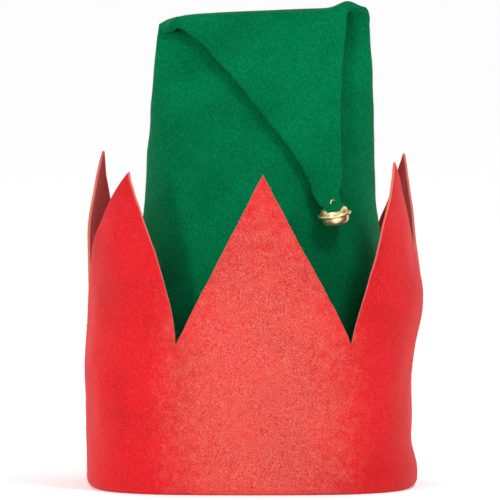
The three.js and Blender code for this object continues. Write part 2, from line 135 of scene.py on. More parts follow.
def superellipse(angle: np.ndarray, squareness: np.ndarray) -> tuple[np.ndarray, np.ndarray]:
    """Gives points of a superellipse with half sizes 1.

    Args:
        angle: Angles in radians.
        squareness: 2 for an ellipse, and more for a squarer shape.

    Returns:
        The points' two coordinates.
    """
    power = 2 / squareness
    cosine, sine = np.cos(angle), np.sin(angle)
    return np.sign(cosine) * np.abs(cosine) ** power, np.sign(sine) * np.abs(sine) ** power


def even_angles(wide: float, deep: float, squareness: float, shares: np.ndarray) -> np.ndarray:
    """Finds the angles at shares of the length of a superellipse's outline.

    Args:
        wide: Half the width of the outline.
        deep: Half the depth.
        squareness: The outline's squareness.
        shares: The shares of the length, from 0 up to less than 1.

    Returns:
        The angle for each share.
    """
    share = np.linspace(0, 1, 200, endpoint=False)
    quarter = share**2 / (share**2 + (1 - share) ** 2)
    dense = np.append(np.concatenate([(quarter + k) * TAU / 4 for k in range(4)]), TAU)
    across, through = superellipse(dense, np.full_like(dense, squareness))
    lengths = np.append(0, np.cumsum(np.hypot(np.diff(across * wide), np.diff(through * deep))))
    return np.interp(shares * lengths[-1], lengths, dense)


def ripple(points: np.ndarray, height: float, seed: int) -> np.ndarray:
    """Gives the soft unevenness of felt, which fades out near the floor.

    Args:
        points: Places on the felt, in millimetres.
        height: How high the ripples are.
        seed: What fixes their pattern.

    Returns:
        How far each place lies out of the smooth surface.
    """
    waves, shortest, longest = 12, 22, 75
    flat_below, fade_length = 12, 30
    draw = np.random.default_rng(seed)
    total = np.zeros(points.shape[:-1])
    for _ in range(waves):
        heading = draw.normal(size=3)
        length = draw.uniform(shortest, longest)
        total += np.sin(points @ (heading / np.linalg.norm(heading)) * TAU / length + draw.uniform(0, TAU))
    fade = np.clip((points[..., 2] - flat_below) / fade_length, 0, 1)
    return total * fade * height / 3


def count_rows(spacing: list[tuple[float, float]]) -> tuple[np.ndarray, np.ndarray]:
    """Counts rows along a length whose spacing changes.

    Args:
        spacing: Places, rising, with the distance from row to row that is wanted there.

    Returns:
        How many rows have passed at many places along the length, and those places.
    """
    at, apart = np.array(spacing, dtype=float).T
    dense = np.linspace(at[0], at[-1], 4000)
    return np.append(0, np.cumsum(np.diff(dense) / np.interp(dense[1:], at, apart))), dense


def spread(spacing: list[tuple[float, float]]) -> np.ndarray:
    """Spreads rows along a length, closer where the spacing says so, from its first place to its last."""
    rows, dense = count_rows(spacing)
    return np.interp(np.linspace(0, rows[-1], round(rows[-1]) + 1), rows, dense)


def turns(pitch: np.ndarray, roll: np.ndarray, yaw: np.ndarray) -> np.ndarray:
    """Builds the turns of cross-sections from their pitch, roll and yaw.

    Args:
        pitch: Degrees about the X axis.
        roll: Degrees that the right end is up.
        yaw: Degrees about the Z axis.

    Returns:
        One 3 by 3 matrix for each cross-section.
    """
    matrices = [
        Matrix.Rotation(math.radians(z), 3, "Z")
        @ Matrix.Rotation(-math.radians(y), 3, "Y")
        @ Matrix.Rotation(math.radians(x), 3, "X")
        for x, y, z in zip(pitch, roll, yaw)
    ]
    return np.array(matrices)


def closed_faces(rows: int, sides: int, caps: bool) -> list[tuple[int, ...]]:
    """Joins rings of equally many points into a closed surface.

    Args:
        rows: How many rings there are.
        sides: How many points each ring has.
        caps: Whether two more points close the ends. Otherwise the last ring joins the first.

    Returns:
        The faces, as indices of the points.
    """
    faces: list[tuple[int, ...]] = []
    for r in range(rows - 1 if caps else rows):
        here, there = r * sides, (r + 1) % rows * sides
        for s in range(sides):
            t = (s + 1) % sides
            faces.append((here + s, here + t, there + t, there + s))
    if caps:
        pole, last = rows * sides, (rows - 1) * sides
        for s in range(sides):
            t = (s + 1) % sides
            faces.append((pole, t, s))
            faces.append((pole + 1, last + s, last + t))
    return faces


def link(name: str, data: bpy.types.ID) -> Piece:
    """Puts a mesh, a light or a camera into the scene."""
    piece = bpy.data.objects.new(name, data)
    bpy.context.scene.collection.objects.link(piece)
    return piece


def make_object(name: str, points: np.ndarray, faces: list[tuple[int, ...]]) -> Piece:
    """Makes a smooth-shaded mesh object at the origin.

    Args:
        name: The piece's name.
        points: The mesh's points, in millimetres.
        faces: The faces, as indices of the points.

    Returns:
        The new object.
    """
    mesh = bpy.data.meshes.new(name)
    mesh.from_pydata((points * MM).tolist(), [], faces)
    mesh.shade_smooth()
    mesh.update()
    return link(name, mesh)


def give_attribute(piece: Piece, name: str, values: np.ndarray) -> None:
    """Stores one number for each point of a mesh, for its material and its fibres."""
    attribute = piece.data.attributes.new(name, "FLOAT", "POINT")
    attribute.data.foreach_set("value", np.ascontiguousarray(values, dtype=np.float32))


def apply_modifiers(piece: Piece) -> None:
    """Turns a piece and its modifiers into a plain mesh.

    Args:
        piece: The object, whose modifiers are removed.
    """
    graph = bpy.context.evaluated_depsgraph_get()
    mesh = bpy.data.meshes.new_from_object(piece.evaluated_get(graph))
    piece.modifiers.clear()
    piece.data = mesh
    mesh.name = piece.name


def cut_away(piece: Piece, cutters: list[Piece]) -> None:
    """Cuts the space of other objects out of a piece, and deletes them.

    Args:
        piece: The object to cut.
        cutters: The objects that are cut out.
    """
    for cutter in cutters:
        modifier = piece.modifiers.new("cut", "BOOLEAN")
        modifier.object = cutter
        modifier.operation = "DIFFERENCE"
        modifier.solver = "EXACT"
    apply_modifiers(piece)
    for cutter in cutters:
        bpy.data.objects.remove(cutter)


@dataclass
class Graph:
    """A node tree that is filled in code."""

    tree: bpy.types.NodeTree

    def fill(self, node: bpy.types.Node, inputs: Inputs) -> None:
        """Links a socket, or sets a value, for each of a node's inputs that is named."""
        for name, value in inputs.items():
            if isinstance(value, Socket):
                self.tree.links.new(value, node.inputs[name])
            else:
                node.inputs[name].default_value = value

    def add(self, kind: str, inputs: Inputs | None = None, **settings: object) -> bpy.types.Node:
        """Adds a node.

        Args:
            kind: The node's type.
            inputs: A socket or a value for each input, by the input's name or number.
            **settings: The node's own properties.

        Returns:
            The new node.
        """
        node = self.tree.nodes.new(kind)
        for name, value in settings.items():
            setattr(node, name, value)
        self.fill(node, inputs or {})
        return node

    def math(self, operation: str, *values: object) -> Socket:
        """Adds a Math node with a socket or a number for each input, and gives its result."""
        node = self.add("ShaderNodeMath", dict(enumerate(values)), operation=operation)
        return node.outputs[0]

    def mix(self, share: object, first: object, second: object, kind: str = "MIX") -> Socket:
        """Mixes two colours, as sockets or values, by the share of the second one."""
        inputs = {0: share, 6: first, 7: second}
        return self.add("ShaderNodeMix", inputs, data_type="RGBA", blend_type=kind).outputs[2]

    def noise(self, place: Socket, scale: float, detail: float = 3, roughness: float = 0.5) -> Socket:
        """Adds a noise pattern from 0 to 1, with finer layers and how strong those are."""
        inputs = {"Vector": place, "Scale": scale, "Detail": detail, "Roughness": roughness}
        return self.add("ShaderNodeTexNoise", inputs).outputs[0]

    def stretch(self, value: Socket, low: float, high: float) -> Socket:
        """Stretches a range of values to run from 0, at low, to 1, at high, with soft ends."""
        inputs = {"Value": value, "From Min": low, "From Max": high}
        return self.add("ShaderNodeMapRange", inputs, interpolation_type="SMOOTHSTEP").outputs[0]


def new_material(name: str) -> tuple[bpy.types.Material, Graph, bpy.types.Node]:
    """Makes a node material with its main shader.

    Args:
        name: The material's name.

    Returns:
        The material, its node graph and its shader node.
    """
    material = bpy.data.materials.new(name)
    material.use_nodes = True
    graph = Graph(material.node_tree)
    return material, graph, material.node_tree.nodes["Principled BSDF"]


@dataclass(frozen=True)
class FeltFinish:
    """Pressed wool-like felt with a short nap."""

    name: str
    colour: Colour
    shade: Colour
    fleck: Colour
    # the colour of cut edges, which also paints the highlight in front where one is given
    cut: Colour
    haze: Colour
    gloss: float
    least_rough: float
    grain: float = 620
    blotch: float = 30
    fleck_least: float = 0.54
    wisp_grain: float = 3.2  # times the grain
    wisp_laid: float = 0.32  # how much of a laid fibre shows
    mottle: float = 0.8
    bump: float = 0.22
    sheen: float = 0.08
    # painted highlight of the frontal light on the front: middle across, middle up, half width and half
    # height, in metres
    painted_highlight_area: tuple[float, float, float, float] | None = None
    clump_grain: float = 190
    layers: tuple[tuple[float, float, float], ...] = ((0.4, 1.2, 0.3), (1.7, 0.3, 2.1), (2.6, 2.2, 0.9))

    def material(self) -> bpy.types.Material:
        """Makes the felt's material, with its blotches, grain, laid fibres and cut edge, and a painted
        highlight where one is given.
        """
        material, graph, shader = new_material(self.name)
        place = graph.add("ShaderNodeTexCoord").outputs["Object"]
        blotch = graph.noise(place, self.blotch, 3)
        grain = graph.noise(place, self.grain, 4, 0.65)
        laid, *others = [self.fibre_layer(graph, place, turn) for turn in self.layers]
        for fibres in others:
            laid = graph.math("MAXIMUM", laid, fibres)
        colour = graph.mix(graph.stretch(blotch, 0.35, 0.7), self.colour, self.shade)
        dark = graph.math("MULTIPLY", graph.stretch(grain, 0.58, 0.38), self.mottle)
        colour = graph.mix(dark, colour, self.shade)
        wisps = graph.noise(place, self.grain * self.wisp_grain, 3, 0.7)
        light = graph.math("MULTIPLY", graph.stretch(wisps, self.fleck_least, 0.8), self.mottle)
        light = graph.math("ADD", light, graph.math("MULTIPLY", laid, self.wisp_laid))
        colour = graph.mix(light, colour, self.fleck)
        if self.painted_highlight_area:
            # paints the frontal light's highlight on the front, in the cut edges' colour
            colour = graph.mix(self.painted_highlight_mask(graph, place, wisps), colour, self.cut)
        edge = graph.add("ShaderNodeAttribute", attribute_name="cut").outputs["Fac"]
        colour = graph.mix(edge, colour, self.cut)
        height = graph.math("ADD", grain, graph.math("MULTIPLY", laid, 0.6))
        inputs = {"Strength": 0.75, "Distance": self.bump * MM, "Height": height}
        bump = graph.add("ShaderNodeBump", inputs).outputs[0]
        ranged = {"Value": grain, "To Min": self.least_rough, "To Max": self.least_rough + 0.2}
        roughness = graph.add("ShaderNodeMapRange", ranged).outputs[0]
        graph.fill(shader, {"Base Color": colour, "Roughness": roughness, "Normal": bump})
        graph.fill(shader, {"Specular IOR Level": self.gloss, "Specular Tint": self.haze})
        graph.fill(shader, {"Sheen Weight": self.sheen, "Sheen Roughness": 0.5, "Sheen Tint": self.haze})
        return material

    def painted_highlight_mask(self, graph: Graph, place: Socket, grain: Socket) -> Socket:
        """Adds the painted highlight that the frontal light makes on the front of the band's nap, speckled by
        the grain.

        Args:
            graph: The material's graph.
            place: The coordinates.
            grain: The felt's grain.

        Returns:
            A mask of the painted highlight, strongest in its middle and on the grain's high spots.
        """
        across, up, wide, tall = self.painted_highlight_area
        parts = graph.add("ShaderNodeSeparateXYZ", {0: place}).outputs
        beside = graph.math("DIVIDE", graph.math("SUBTRACT", parts[0], across), wide)
        above = graph.math("DIVIDE", graph.math("SUBTRACT", parts[2], up), tall)
        apart = graph.math("ADD", graph.math("POWER", beside, 2.0), graph.math("POWER", above, 2.0))
        clumps = graph.noise(place, self.clump_grain, 5, 0.8)
        apart = graph.math("ADD", apart, graph.math("MULTIPLY", graph.math("SUBTRACT", 0.5, clumps), 2.0))
        area = graph.math("MULTIPLY", graph.stretch(apart, 1.6, 0.0), graph.math("LESS_THAN", parts[1], 0.0))
        fine = graph.math("MULTIPLY", graph.stretch(grain, 0.45, 0.57), 0.85)
        highlight_speckle = graph.math("ADD", fine, graph.math("MULTIPLY", graph.stretch(clumps, 0.35, 0.7), 0.15))
        return graph.math("MULTIPLY", area, highlight_speckle)

    def fibre_layer(self, graph: Graph, place: Socket, turn: tuple[float, float, float]) -> Socket:
        """Adds one layer of fibres that lie in one main direction.

        Args:
            graph: The material's graph.
            place: The coordinates.
            turn: The direction, as three turns in radians.

        Returns:
            A mask that is 1 on the fibres.
        """
        inputs = {"Vector": place, "Rotation": turn, "Scale": (2.2, 2.2, 0.8)}
        turned = graph.add("ShaderNodeMapping", inputs).outputs[0]
        return graph.stretch(graph.noise(turned, self.grain, 3, 0.6), 0.54, 0.72)


@dataclass(frozen=True)
class NapFinish:
    """The single fibres that stand out of the felt."""

    name: str
    colour: Colour
    tip: Colour

    def material(self) -> bpy.types.Material:
        """Makes the fibres' material, which varies from place to place."""
        material, graph, shader = new_material(self.name)
        place = graph.add("ShaderNodeTexCoord").outputs["Object"]
        colour = graph.mix(graph.stretch(graph.noise(place, 400, 1), 0.35, 0.65), self.colour, self.tip)
        graph.fill(shader, {"Base Color": colour, "Roughness": 0.9, "Specular IOR Level": 0.2})
        return material


@dataclass(frozen=True)
class MetalFinish:
    """Thin sheet metal with a polish that has dulled in places."""

    name: str
    colour: Colour
    dull: Colour
    gloss: float
    dull_gloss: float

    def material(self) -> bpy.types.Material:
        """Makes the metal's material, with tarnish and fine scratches."""
        material, graph, shader = new_material(self.name)
        place = graph.add("ShaderNodeTexCoord").outputs["Object"]
        tarnish = graph.stretch(graph.noise(place, 260, 4, 0.6), 0.45, 0.72)
        inputs = {"Vector": place, "Rotation": (0.3, 0.5, 0.2), "Scale": (0.15, 1.6, 2.2)}
        lines = graph.noise(graph.add("ShaderNodeMapping", inputs).outputs[0], 2600, 2)
        colour = graph.mix(tarnish, self.colour, self.dull)
        wear = graph.math("ADD", graph.math("MULTIPLY", tarnish, 0.8), graph.math("MULTIPLY", lines, 0.2))
        ranged = {"Value": wear, "To Min": self.gloss, "To Max": self.dull_gloss}
        roughness = graph.add("ShaderNodeMapRange", ranged).outputs[0]
        height = graph.math("ADD", lines, graph.noise(place, 420, 2))
        inputs = {"Strength": 0.3, "Distance": 0.05 * MM, "Height": height}
        bump = graph.add("ShaderNodeBump", inputs).outputs[0]
        graph.fill(shader, {"Base Color": colour, "Roughness": roughness, "Normal": bump, "Metallic": 1.0})
        return material


@dataclass(frozen=True)
class ThreadFinish:
    """Twisted sewing thread."""

    name: str
    colour: Colour
    light: Colour

    def material(self) -> bpy.types.Material:
        """Makes the thread's material, with the fine grain of its twist."""
        material, graph, shader = new_material(self.name)
        place = graph.add("ShaderNodeTexCoord").outputs["Object"]
        grain = graph.noise(place, 3500, 2)
        colour = graph.mix(graph.stretch(grain, 0.4, 0.65), self.colour, self.light)
        inputs = {"Strength": 0.5, "Distance": 0.05 * MM, "Height": grain}
        bump = graph.add("ShaderNodeBump", inputs).outputs[0]
        graph.fill(shader, {"Base Color": colour, "Roughness": 0.6, "Normal": bump})
        return material


GREEN_FELT = FeltFinish(
    name="green_felt",
    colour=srgb(0, 108, 63),
    shade=srgb(0, 88, 51),
    fleck=srgb(26, 158, 102),
    cut=srgb(8, 128, 76),
    haze=(0.0, 0.5, 0.25, 1.0),
    gloss=0.12,
    least_rough=0.7,
    mottle=0.75,
)
RED_FELT = FeltFinish(
    name="red_felt",
    colour=srgb(214, 15, 31),
    shade=srgb(192, 8, 24),
    fleck=srgb(230, 72, 68),
    # the cut edges' colour, also used for the painted highlight in front
    cut=srgb(214, 112, 98),
    haze=(1.0, 0.6, 0.5, 1.0),
    gloss=0.2,
    least_rough=0.6,
    mottle=0.6,
    # painted highlight where the frontal light falls on the band's front
    painted_highlight_area=(0.003, 0.055, 0.055, 0.125),
)
GREEN_NAP = NapFinish("green_nap", srgb(6, 122, 72), srgb(40, 160, 104))
RED_NAP = NapFinish("red_nap", srgb(228, 50, 56), srgb(248, 116, 110))
BRASS = MetalFinish("pale_brass", srgb(252, 236, 182), srgb(216, 184, 122), 0.36, 0.55)
STEEL = MetalFinish("steel_ball", srgb(168, 166, 162), srgb(120, 118, 114), 0.25, 0.5)
GREEN_THREAD = ThreadFinish("green_thread", srgb(3, 96, 56), srgb(30, 140, 86))
RED_THREAD = ThreadFinish("red_thread", srgb(190, 24, 34), srgb(236, 70, 72))


@dataclass
class NodeMaker:
    """A Geometry Nodes tree that grows new parts on a mesh or a path."""

    name: str
    graph: Graph = field(init=False)
    entry: bpy.types.Node = field(init=False)
    values: dict[str, object] = field(init=False, default_factory=dict)

    def __post_init__(self) -> None:
        """Makes the empty tree with its way in."""
        tree = bpy.data.node_groups.new(self.name, "GeometryNodeTree")
        tree.interface.new_socket("Geometry", in_out="INPUT", socket_type="NodeSocketGeometry")
        tree.interface.new_socket("Geometry", in_out="OUTPUT", socket_type="NodeSocketGeometry")
        self.graph = Graph(tree)
        self.entry = tree.nodes.new("NodeGroupInput")

    def size(self, name: str, value: object, kind: str = "Float") -> Socket:
        """Adds a named input for a size.

        Args:
            name: The input's name.
            value: Its value.
            kind: The kind of socket.

        Returns:
            The socket that gives the value inside the tree.
        """
        item = self.graph.tree.interface.new_socket(name, in_out="INPUT", socket_type=f"NodeSocket{kind}")
        self.values[item.identifier] = value
        return self.entry.outputs[name]

    def tube(self, curve: Socket, sides: int, thick: Socket) -> Socket:
        """Makes a closed tube of a radius, in metres, along a curve."""
        circle = {"Resolution": sides, "Radius": thick}
        outline = self.graph.add("GeometryNodeCurvePrimitiveCircle", circle).outputs[0]
        inputs = {"Curve": curve, "Profile Curve": outline, "Fill Caps": True}
        return self.graph.add("GeometryNodeCurveToMesh", inputs).outputs[0]

    def grow(self, piece: Piece, result: Socket, material: bpy.types.Material) -> None:
        """Ends the tree, runs it on a piece and turns the result into a plain mesh.

        Args:
            piece: The object that holds the mesh or the path, and afterwards the result.
            result: The instances to keep.
            material: The finish that they get.
        """
        real = self.graph.add("GeometryNodeRealizeInstances", {0: result}).outputs[0]
        coat = self.size("Finish", material, "Material")
        dressed = self.graph.add("GeometryNodeSetMaterial", {"Geometry": real, "Material": coat}).outputs[0]
        self.graph.add("NodeGroupOutput", {0: dressed})
        modifier = piece.modifiers.new(self.name, "NODES")
        modifier.node_group = self.graph.tree
        for identifier, value in self.values.items():
            modifier[identifier] = value
        apply_modifiers(piece)


@dataclass
class Nap:
    """The loose fibres that stand out of a felt surface."""

    density: float  # fibres on a square metre
    length: float
    thick: float
    seed: int

    def grow(self, name: str, felt: Piece, finish: NapFinish) -> Piece:
        """Grows fibres where the felt's nap attribute is above 0.

        Args:
            name: The new piece's name.
            felt: The felt that they grow on.
            finish: Their finish.

        Returns:
            The fibres, as one mesh.
        """
        piece = link(name, felt.data.copy())
        maker = NodeMaker(name)
        graph = maker.graph
        density = maker.size("Density", self.density)
        length = maker.size("Length", self.length * MM)
        thick = maker.size("Thickness", self.thick * MM)
        seed = maker.size("Seed", self.seed, "Int")
        nap = graph.add("GeometryNodeInputNamedAttribute", {"Name": "nap"}, data_type="FLOAT").outputs[0]
        scattered = graph.add(
            "GeometryNodeDistributePointsOnFaces",
            {"Mesh": maker.entry.outputs[0], "Density": graph.math("MULTIPLY", density, nap), "Seed": seed},
        )
        hook = {"Start": (0, 0, -0.05), "Middle": (0.3, 0, 0.42), "End": (0.9, 0.3, 0.3)}
        arc = graph.add("GeometryNodeCurveQuadraticBezier", {"Resolution": 2, **hook}).outputs[0]
        scale = graph.add("ShaderNodeCombineXYZ", {0: length, 1: length, 2: length}).outputs[0]
        sized = graph.add("GeometryNodeTransform", {"Geometry": arc, "Scale": scale}).outputs[0]
        along = graph.add("GeometryNodeSplineParameter").outputs["Factor"]
        taper = graph.math("SUBTRACT", 1.0, graph.math("MULTIPLY", along, 0.75))
        tapered = graph.add("GeometryNodeSetCurveRadius", {"Curve": sized, "Radius": taper}).outputs[0]
        fibre = maker.tube(tapered, 3, thick)
        lean = self.random(graph, "FLOAT_VECTOR", (-0.35, -0.35, 0.0), (0.35, 0.9, TAU), seed)
        turned = graph.add(
            "FunctionNodeRotateRotation",
            {"Rotation": scattered.outputs["Rotation"], "Rotate By": lean},
            rotation_space="LOCAL",
        ).outputs[0]
        sizes = self.random(graph, "FLOAT", 0.35, 1.3, seed)
        stood = graph.add(
            "GeometryNodeInstanceOnPoints",
            {"Points": scattered.outputs["Points"], "Instance": fibre, "Rotation": turned, "Scale": sizes},
        ).outputs[0]
        maker.grow(piece, stood, finish.material())
        return piece

    @staticmethod
    def random(graph: Graph, kind: str, low: object, high: object, seed: Socket) -> Socket:
        """Adds a random value.

        Args:
            graph: The tree's graph.
            kind: The value's type, FLOAT or FLOAT_VECTOR.
            low: Its least value.
            high: Its greatest value.
            seed: The seed's socket.

        Returns:
            The value's socket.
        """
        node = graph.add("FunctionNodeRandomValue", data_type=kind)
        limits = [socket for socket in node.inputs if socket.enabled and socket.name in ("Min", "Max")]
        limits[0].default_value = low
        limits[1].default_value = high
        graph.tree.links.new(seed, node.inputs["Seed"])
        return next(socket for socket in node.outputs if socket.enabled)


LONG_NAP = Nap(density=78000, length=1.9, thick=0.032, seed=11)
SHORT_FUZZ = Nap(density=76000, length=1.0, thick=0.045, seed=31)


@dataclass
class Stitches:
    """A row of stitches along a path that lies on felt."""

    pitch: float = 3.2
    length: float = 2.4
    height: float = 0.35
    thick: float = 0.22

    def sew(self, name: str, path: np.ndarray, lift: np.ndarray, finish: ThreadFinish) -> Piece:
        """Sews the row.

        Args:
            name: The new piece's name.
            path: The points of the path, in millimetres.
            lift: The direction out of the felt at each point.
            finish: The thread's finish.

        Returns:
            The stitches, as one mesh.
        """
        mesh = bpy.data.meshes.new(name)
        mesh.from_pydata((path * MM).tolist(), [(i, i + 1) for i in range(len(path) - 1)], [])
        attribute = mesh.attributes.new("lift", "FLOAT_VECTOR", "POINT")
        attribute.data.foreach_set("vector", np.ascontiguousarray(lift, dtype=np.float32).ravel())
        piece = link(name, mesh)
        maker = NodeMaker(name)
        graph = maker.graph
        pitch = maker.size("Pitch", self.pitch * MM)
        length = maker.size("Length", self.length * MM)
        height = maker.size("Height", self.height * MM)
        thick = maker.size("Thickness", self.thick * MM)
        curve = graph.add("GeometryNodeMeshToCurve", {"Mesh": maker.entry.outputs[0]}).outputs[0]
        evenly = {"Curve": curve, "Length": pitch}
        spaced = graph.add("GeometryNodeResampleCurve", evenly, mode="LENGTH").outputs[0]
        half = graph.math("MULTIPLY", length, 0.5)
        low = graph.math("MULTIPLY", height, -0.8)
        start = graph.add("ShaderNodeCombineXYZ", {0: graph.math("MULTIPLY", half, -1.0), 2: low}).outputs[0]
        top = graph.add("ShaderNodeCombineXYZ", {2: graph.math("MULTIPLY", height, 2.2)}).outputs[0]
        end = graph.add("ShaderNodeCombineXYZ", {0: half, 2: low}).outputs[0]
        bend = {"Resolution": 6, "Start": start, "Middle": top, "End": end}
        arc = graph.add("GeometryNodeCurveQuadraticBezier", bend).outputs[0]
        stitch = maker.tube(arc, 6, thick)
        stored = {"Name": "lift"}
        rise = graph.add("GeometryNodeInputNamedAttribute", stored, data_type="FLOAT_VECTOR").outputs[0]
        upright = graph.add("FunctionNodeAlignRotationToVector", {"Vector": rise}, axis="Z").outputs[0]
        tangent = graph.add("GeometryNodeInputTangent").outputs[0]
        turned = graph.add(
            "FunctionNodeAlignRotationToVector",
            {"Rotation": upright, "Vector": tangent},
            axis="X",
            pivot_axis="Z",
        ).outputs[0]
        row = {"Points": spaced, "Instance": stitch, "Rotation": turned}
        placed = graph.add("GeometryNodeInstanceOnPoints", row).outputs[0]
        maker.grow(piece, placed, finish.material())
        return piece


@dataclass
class BellPlace:
    """Where the bell hangs and how it is turned."""

    middle: Vector
    tilt: float = 6
    roll: float = 10

    def matrix(self) -> Matrix:
        """Gives the bell's frame, from the middle of its rim, in millimetres."""
        roll = Matrix.Rotation(-math.radians(self.roll), 4, "Y")
        tilt = Matrix.Rotation(math.radians(self.tilt), 4, "X")
        return Matrix.Translation(self.middle) @ (roll @ tilt)


@dataclass
class Crown:
    """The green felt crown: a cone, flattened and folded over at its top, whose tip hangs in front."""

    middle: Vector
    bell: BellPlace
    felt: float = 1.6
    hem_half_width: float = 93.2
    hem_half_depth: float = 85.2
    hem_up: float = 2.609
    fold_up: float = 269
    fold_half_width: float = 62
    fold_bend: float = 5.5
    fold_half_thick: float = 4
    fold_squareness: float = 3.2
    tab_half_width: float = 5.6
    tab_half_thick: float = 0.9
    seat_gap: float = 0.3
    bell_radius: float = 8
    bell_cap_height: float = 4.8
    sides: int = 268
    closed_rows: int = 3
    lip_height: float = 3.5
    lip_across: float = -47
    lip_width: float = 8
    ripple_height: float = 0.3
    seam_depth: float = 0.55
    seam_top: float = 250
    seam_width: float = 0.0014
    flat: tuple[float, float] = (0.586, 0.41)
    area: float = 0.122
    length: float = field(init=False)
    inside: np.ndarray = field(init=False)

    BODY = table(
        "up wide deep aside back square",
        [
            (0.0, 1.0, 1.0, 0.0, 0.0, 3.1),
            (0.04, 0.995, 0.993, 0.0, 0.0, 3.1),
            (0.16, 0.93, 0.9, 0.02, 0.01, 2.4),
            (0.32, 0.86, 0.79, 0.04, 0.02, 2.3),
            (0.48, 0.785, 0.655, 0.055, 0.03, 2.2),
            (0.62, 0.727, 0.51, 0.055, 0.035, 2.2),
            (0.73, 0.711, 0.385, 0.057, 0.04, 2.2),
            (0.84, 0.698, 0.25, 0.066, 0.045, 2.3),
            (0.93, 0.686, 0.127, 0.072, 0.055, 2.6),
        ],
    )
    FOLD = table(
        "turn wide aside roll lip",
        [
            (0, 1.0, 0.077, 0, 0),
            (45, 1.0, 0.077, 1, 0),
            (90, 0.965, 0.078, 2.5, -0.2),
            (130, 0.89, 0.08, 4, 1.2),
        ],
    )
    CREST = table(
        "across wide lift",
        [(0.83, 0.12, 0.068), (1.05, 0.08, 0.04), (-1.05, 0.14, -0.045), (-1.05, 0.1, -0.065)],
    )
    FLAP = table(
        "down aside out wide thick roll yaw lip",
        [
            (-0.06, 0.042, 0.0, 0.81, 1.0, 8, 0, 1.5),
            (0.084, 0.244, 0.012, 0.63, 0.95, 14, 3, 0.5),
            (0.2, 0.346, 0.016, 0.54, 0.92, 15, 4, 0.0),
            (0.341, 0.454, 0.018, 0.448, 0.9, 16, 5, 0.0),
            (0.49, 0.572, 0.015, 0.36, 0.88, 17, 6, 0.0),
            (0.637, 0.692, 0.01, 0.273, 0.82, 17, 6, 0.0),
            (0.817, 0.817, 0.0, 0.19, 0.68, 15, 3, 0.0),
            (0.93, 0.883, -0.006, 0.155, 0.5, 12, 1, 0.0),
        ],
    )
    TAB = table(
        "ahead above aside wide thick pitch",
        [
            (-0.6, 2.0, -0.5, 1.35, 1.5, 138),
            (-0.08, 1.05, -0.2, 1.08, 1.0, 104),
            (0.5, 0.98, 0.0, 1.0, 1.0, 98),
            (0.86, 0.78, 0.0, 0.9, 1.0, 128),
            (0.97, 0.55, 0.0, 0.72, 0.85, 155),
        ],
    )
    CREASES = table(
        "across up long wide turn depth",
        [
            (-43, 268, 9, 3.6, -35, 2.6),
            (-41.8, 269.0, 4.6, 1.6, -24, 3.5),
            (-39.5, 265.5, 5, 1.0, -45, -0.9),
            (-46, 266, 4.5, 0.9, -20, -0.8),
        ],
    )
    DENTS = table(
        "along round long wide depth",
        [
            (0.22, 0.6, 0.1, 0.05, 0.024),
            (0.25, 0.86, 0.12, 0.05, 0.027),
            (0.16, 0.2, 0.1, 0.06, 0.026),
            (0.2, 0.36, 0.12, 0.05, -0.017),
            (0.3, 0.97, 0.08, 0.04, 0.017),
            (0.69, 0.5, 0.028, 0.011, 0.048),
        ],
    )

    def stations(self) -> Columns:
        """Lines up the cross-sections of the crown, from its hem to its tip.

        Returns:
            Their middles, turns and sizes, and how much of the fold's crest each one takes.
        """
        names = "x y z pitch roll yaw wide deep square crest lip".split()

        def stretch(rows: Columns, **columns: np.ndarray | float) -> Columns:
            """Makes the columns of one stretch, with 0 for those that aren't given."""
            count = len(rows["wide"])
            return {name: np.zeros(count) + columns.get(name, 0.0) for name in names}

        body, fold, flap, tab = self.BODY, self.FOLD, self.FLAP, self.TAB
        body_part = stretch(
            body,
            x=body["aside"] * self.hem_half_width,
            y=body["back"] * self.hem_half_width,
            z=self.hem_up + (self.fold_up - self.hem_up) * body["up"],
            wide=body["wide"] * self.hem_half_width,
            deep=body["deep"] * self.hem_half_depth,
            square=body["square"],
        )
        turn = np.radians(fold["turn"])
        fold_part = stretch(
            fold,
            x=fold["aside"] * self.hem_half_width,
            y=self.fold_bend * np.cos(turn),
            z=self.fold_up + self.fold_bend * np.sin(turn),
            pitch=fold["turn"],
            roll=fold["roll"],
            wide=fold["wide"] * self.fold_half_width,
            deep=self.fold_half_thick,
            square=self.fold_squareness,
            crest=np.sin(turn) ** 2,
            lip=fold["lip"],
        )
        clear = self.seat_gap + self.tab_half_thick
        frame = self.bell.matrix()
        off_axis = tab["ahead"] * (self.bell_radius + clear)
        over_rim = tab["above"] * (self.bell_cap_height + clear)
        middles = np.array(
            [
                frame @ Vector((aside * self.tab_half_width, -ahead, above))
                for aside, ahead, above in zip(tab["aside"], off_axis, over_rim)
            ]
        )
        tab_part = stretch(
            tab,
            x=middles[:, 0],
            y=middles[:, 1],
            z=middles[:, 2],
            pitch=tab["pitch"] + self.bell.tilt,
            roll=self.bell.roll,
            wide=tab["wide"] * self.tab_half_width,
            deep=tab["thick"] * self.tab_half_thick,
            square=np.array([1.0, 1.0, 0.95, 0.8, 0.75]) * self.fold_squareness,
        )
        fold_aside = fold["aside"][-1] * self.hem_half_width
        start = np.array([fold_aside, -self.fold_bend, self.fold_up - self.fold_bend / 2])
        end = middles[0]
        drop, lead = start[2] - end[2], start[1] - end[1]
        flap_part = stretch(
            flap,
            x=start[0] + (self.bell.middle.x - start[0]) * flap["aside"],
            y=start[1] - lead * flap["down"] - flap["out"] * math.hypot(drop, lead),
            z=start[2] - drop * flap["down"],
            pitch=180 - math.degrees(math.atan2(lead, drop)),
            roll=flap["roll"],
            yaw=flap["yaw"],
            wide=flap["wide"] * self.fold_half_width,
            deep=flap["thick"] * self.fold_half_thick,
            square=self.fold_squareness,
            lip=flap["lip"],
        )
        parts = (body_part, fold_part, flap_part, tab_part)
        return {name: np.concatenate([part[name] for part in parts]) for name in names}

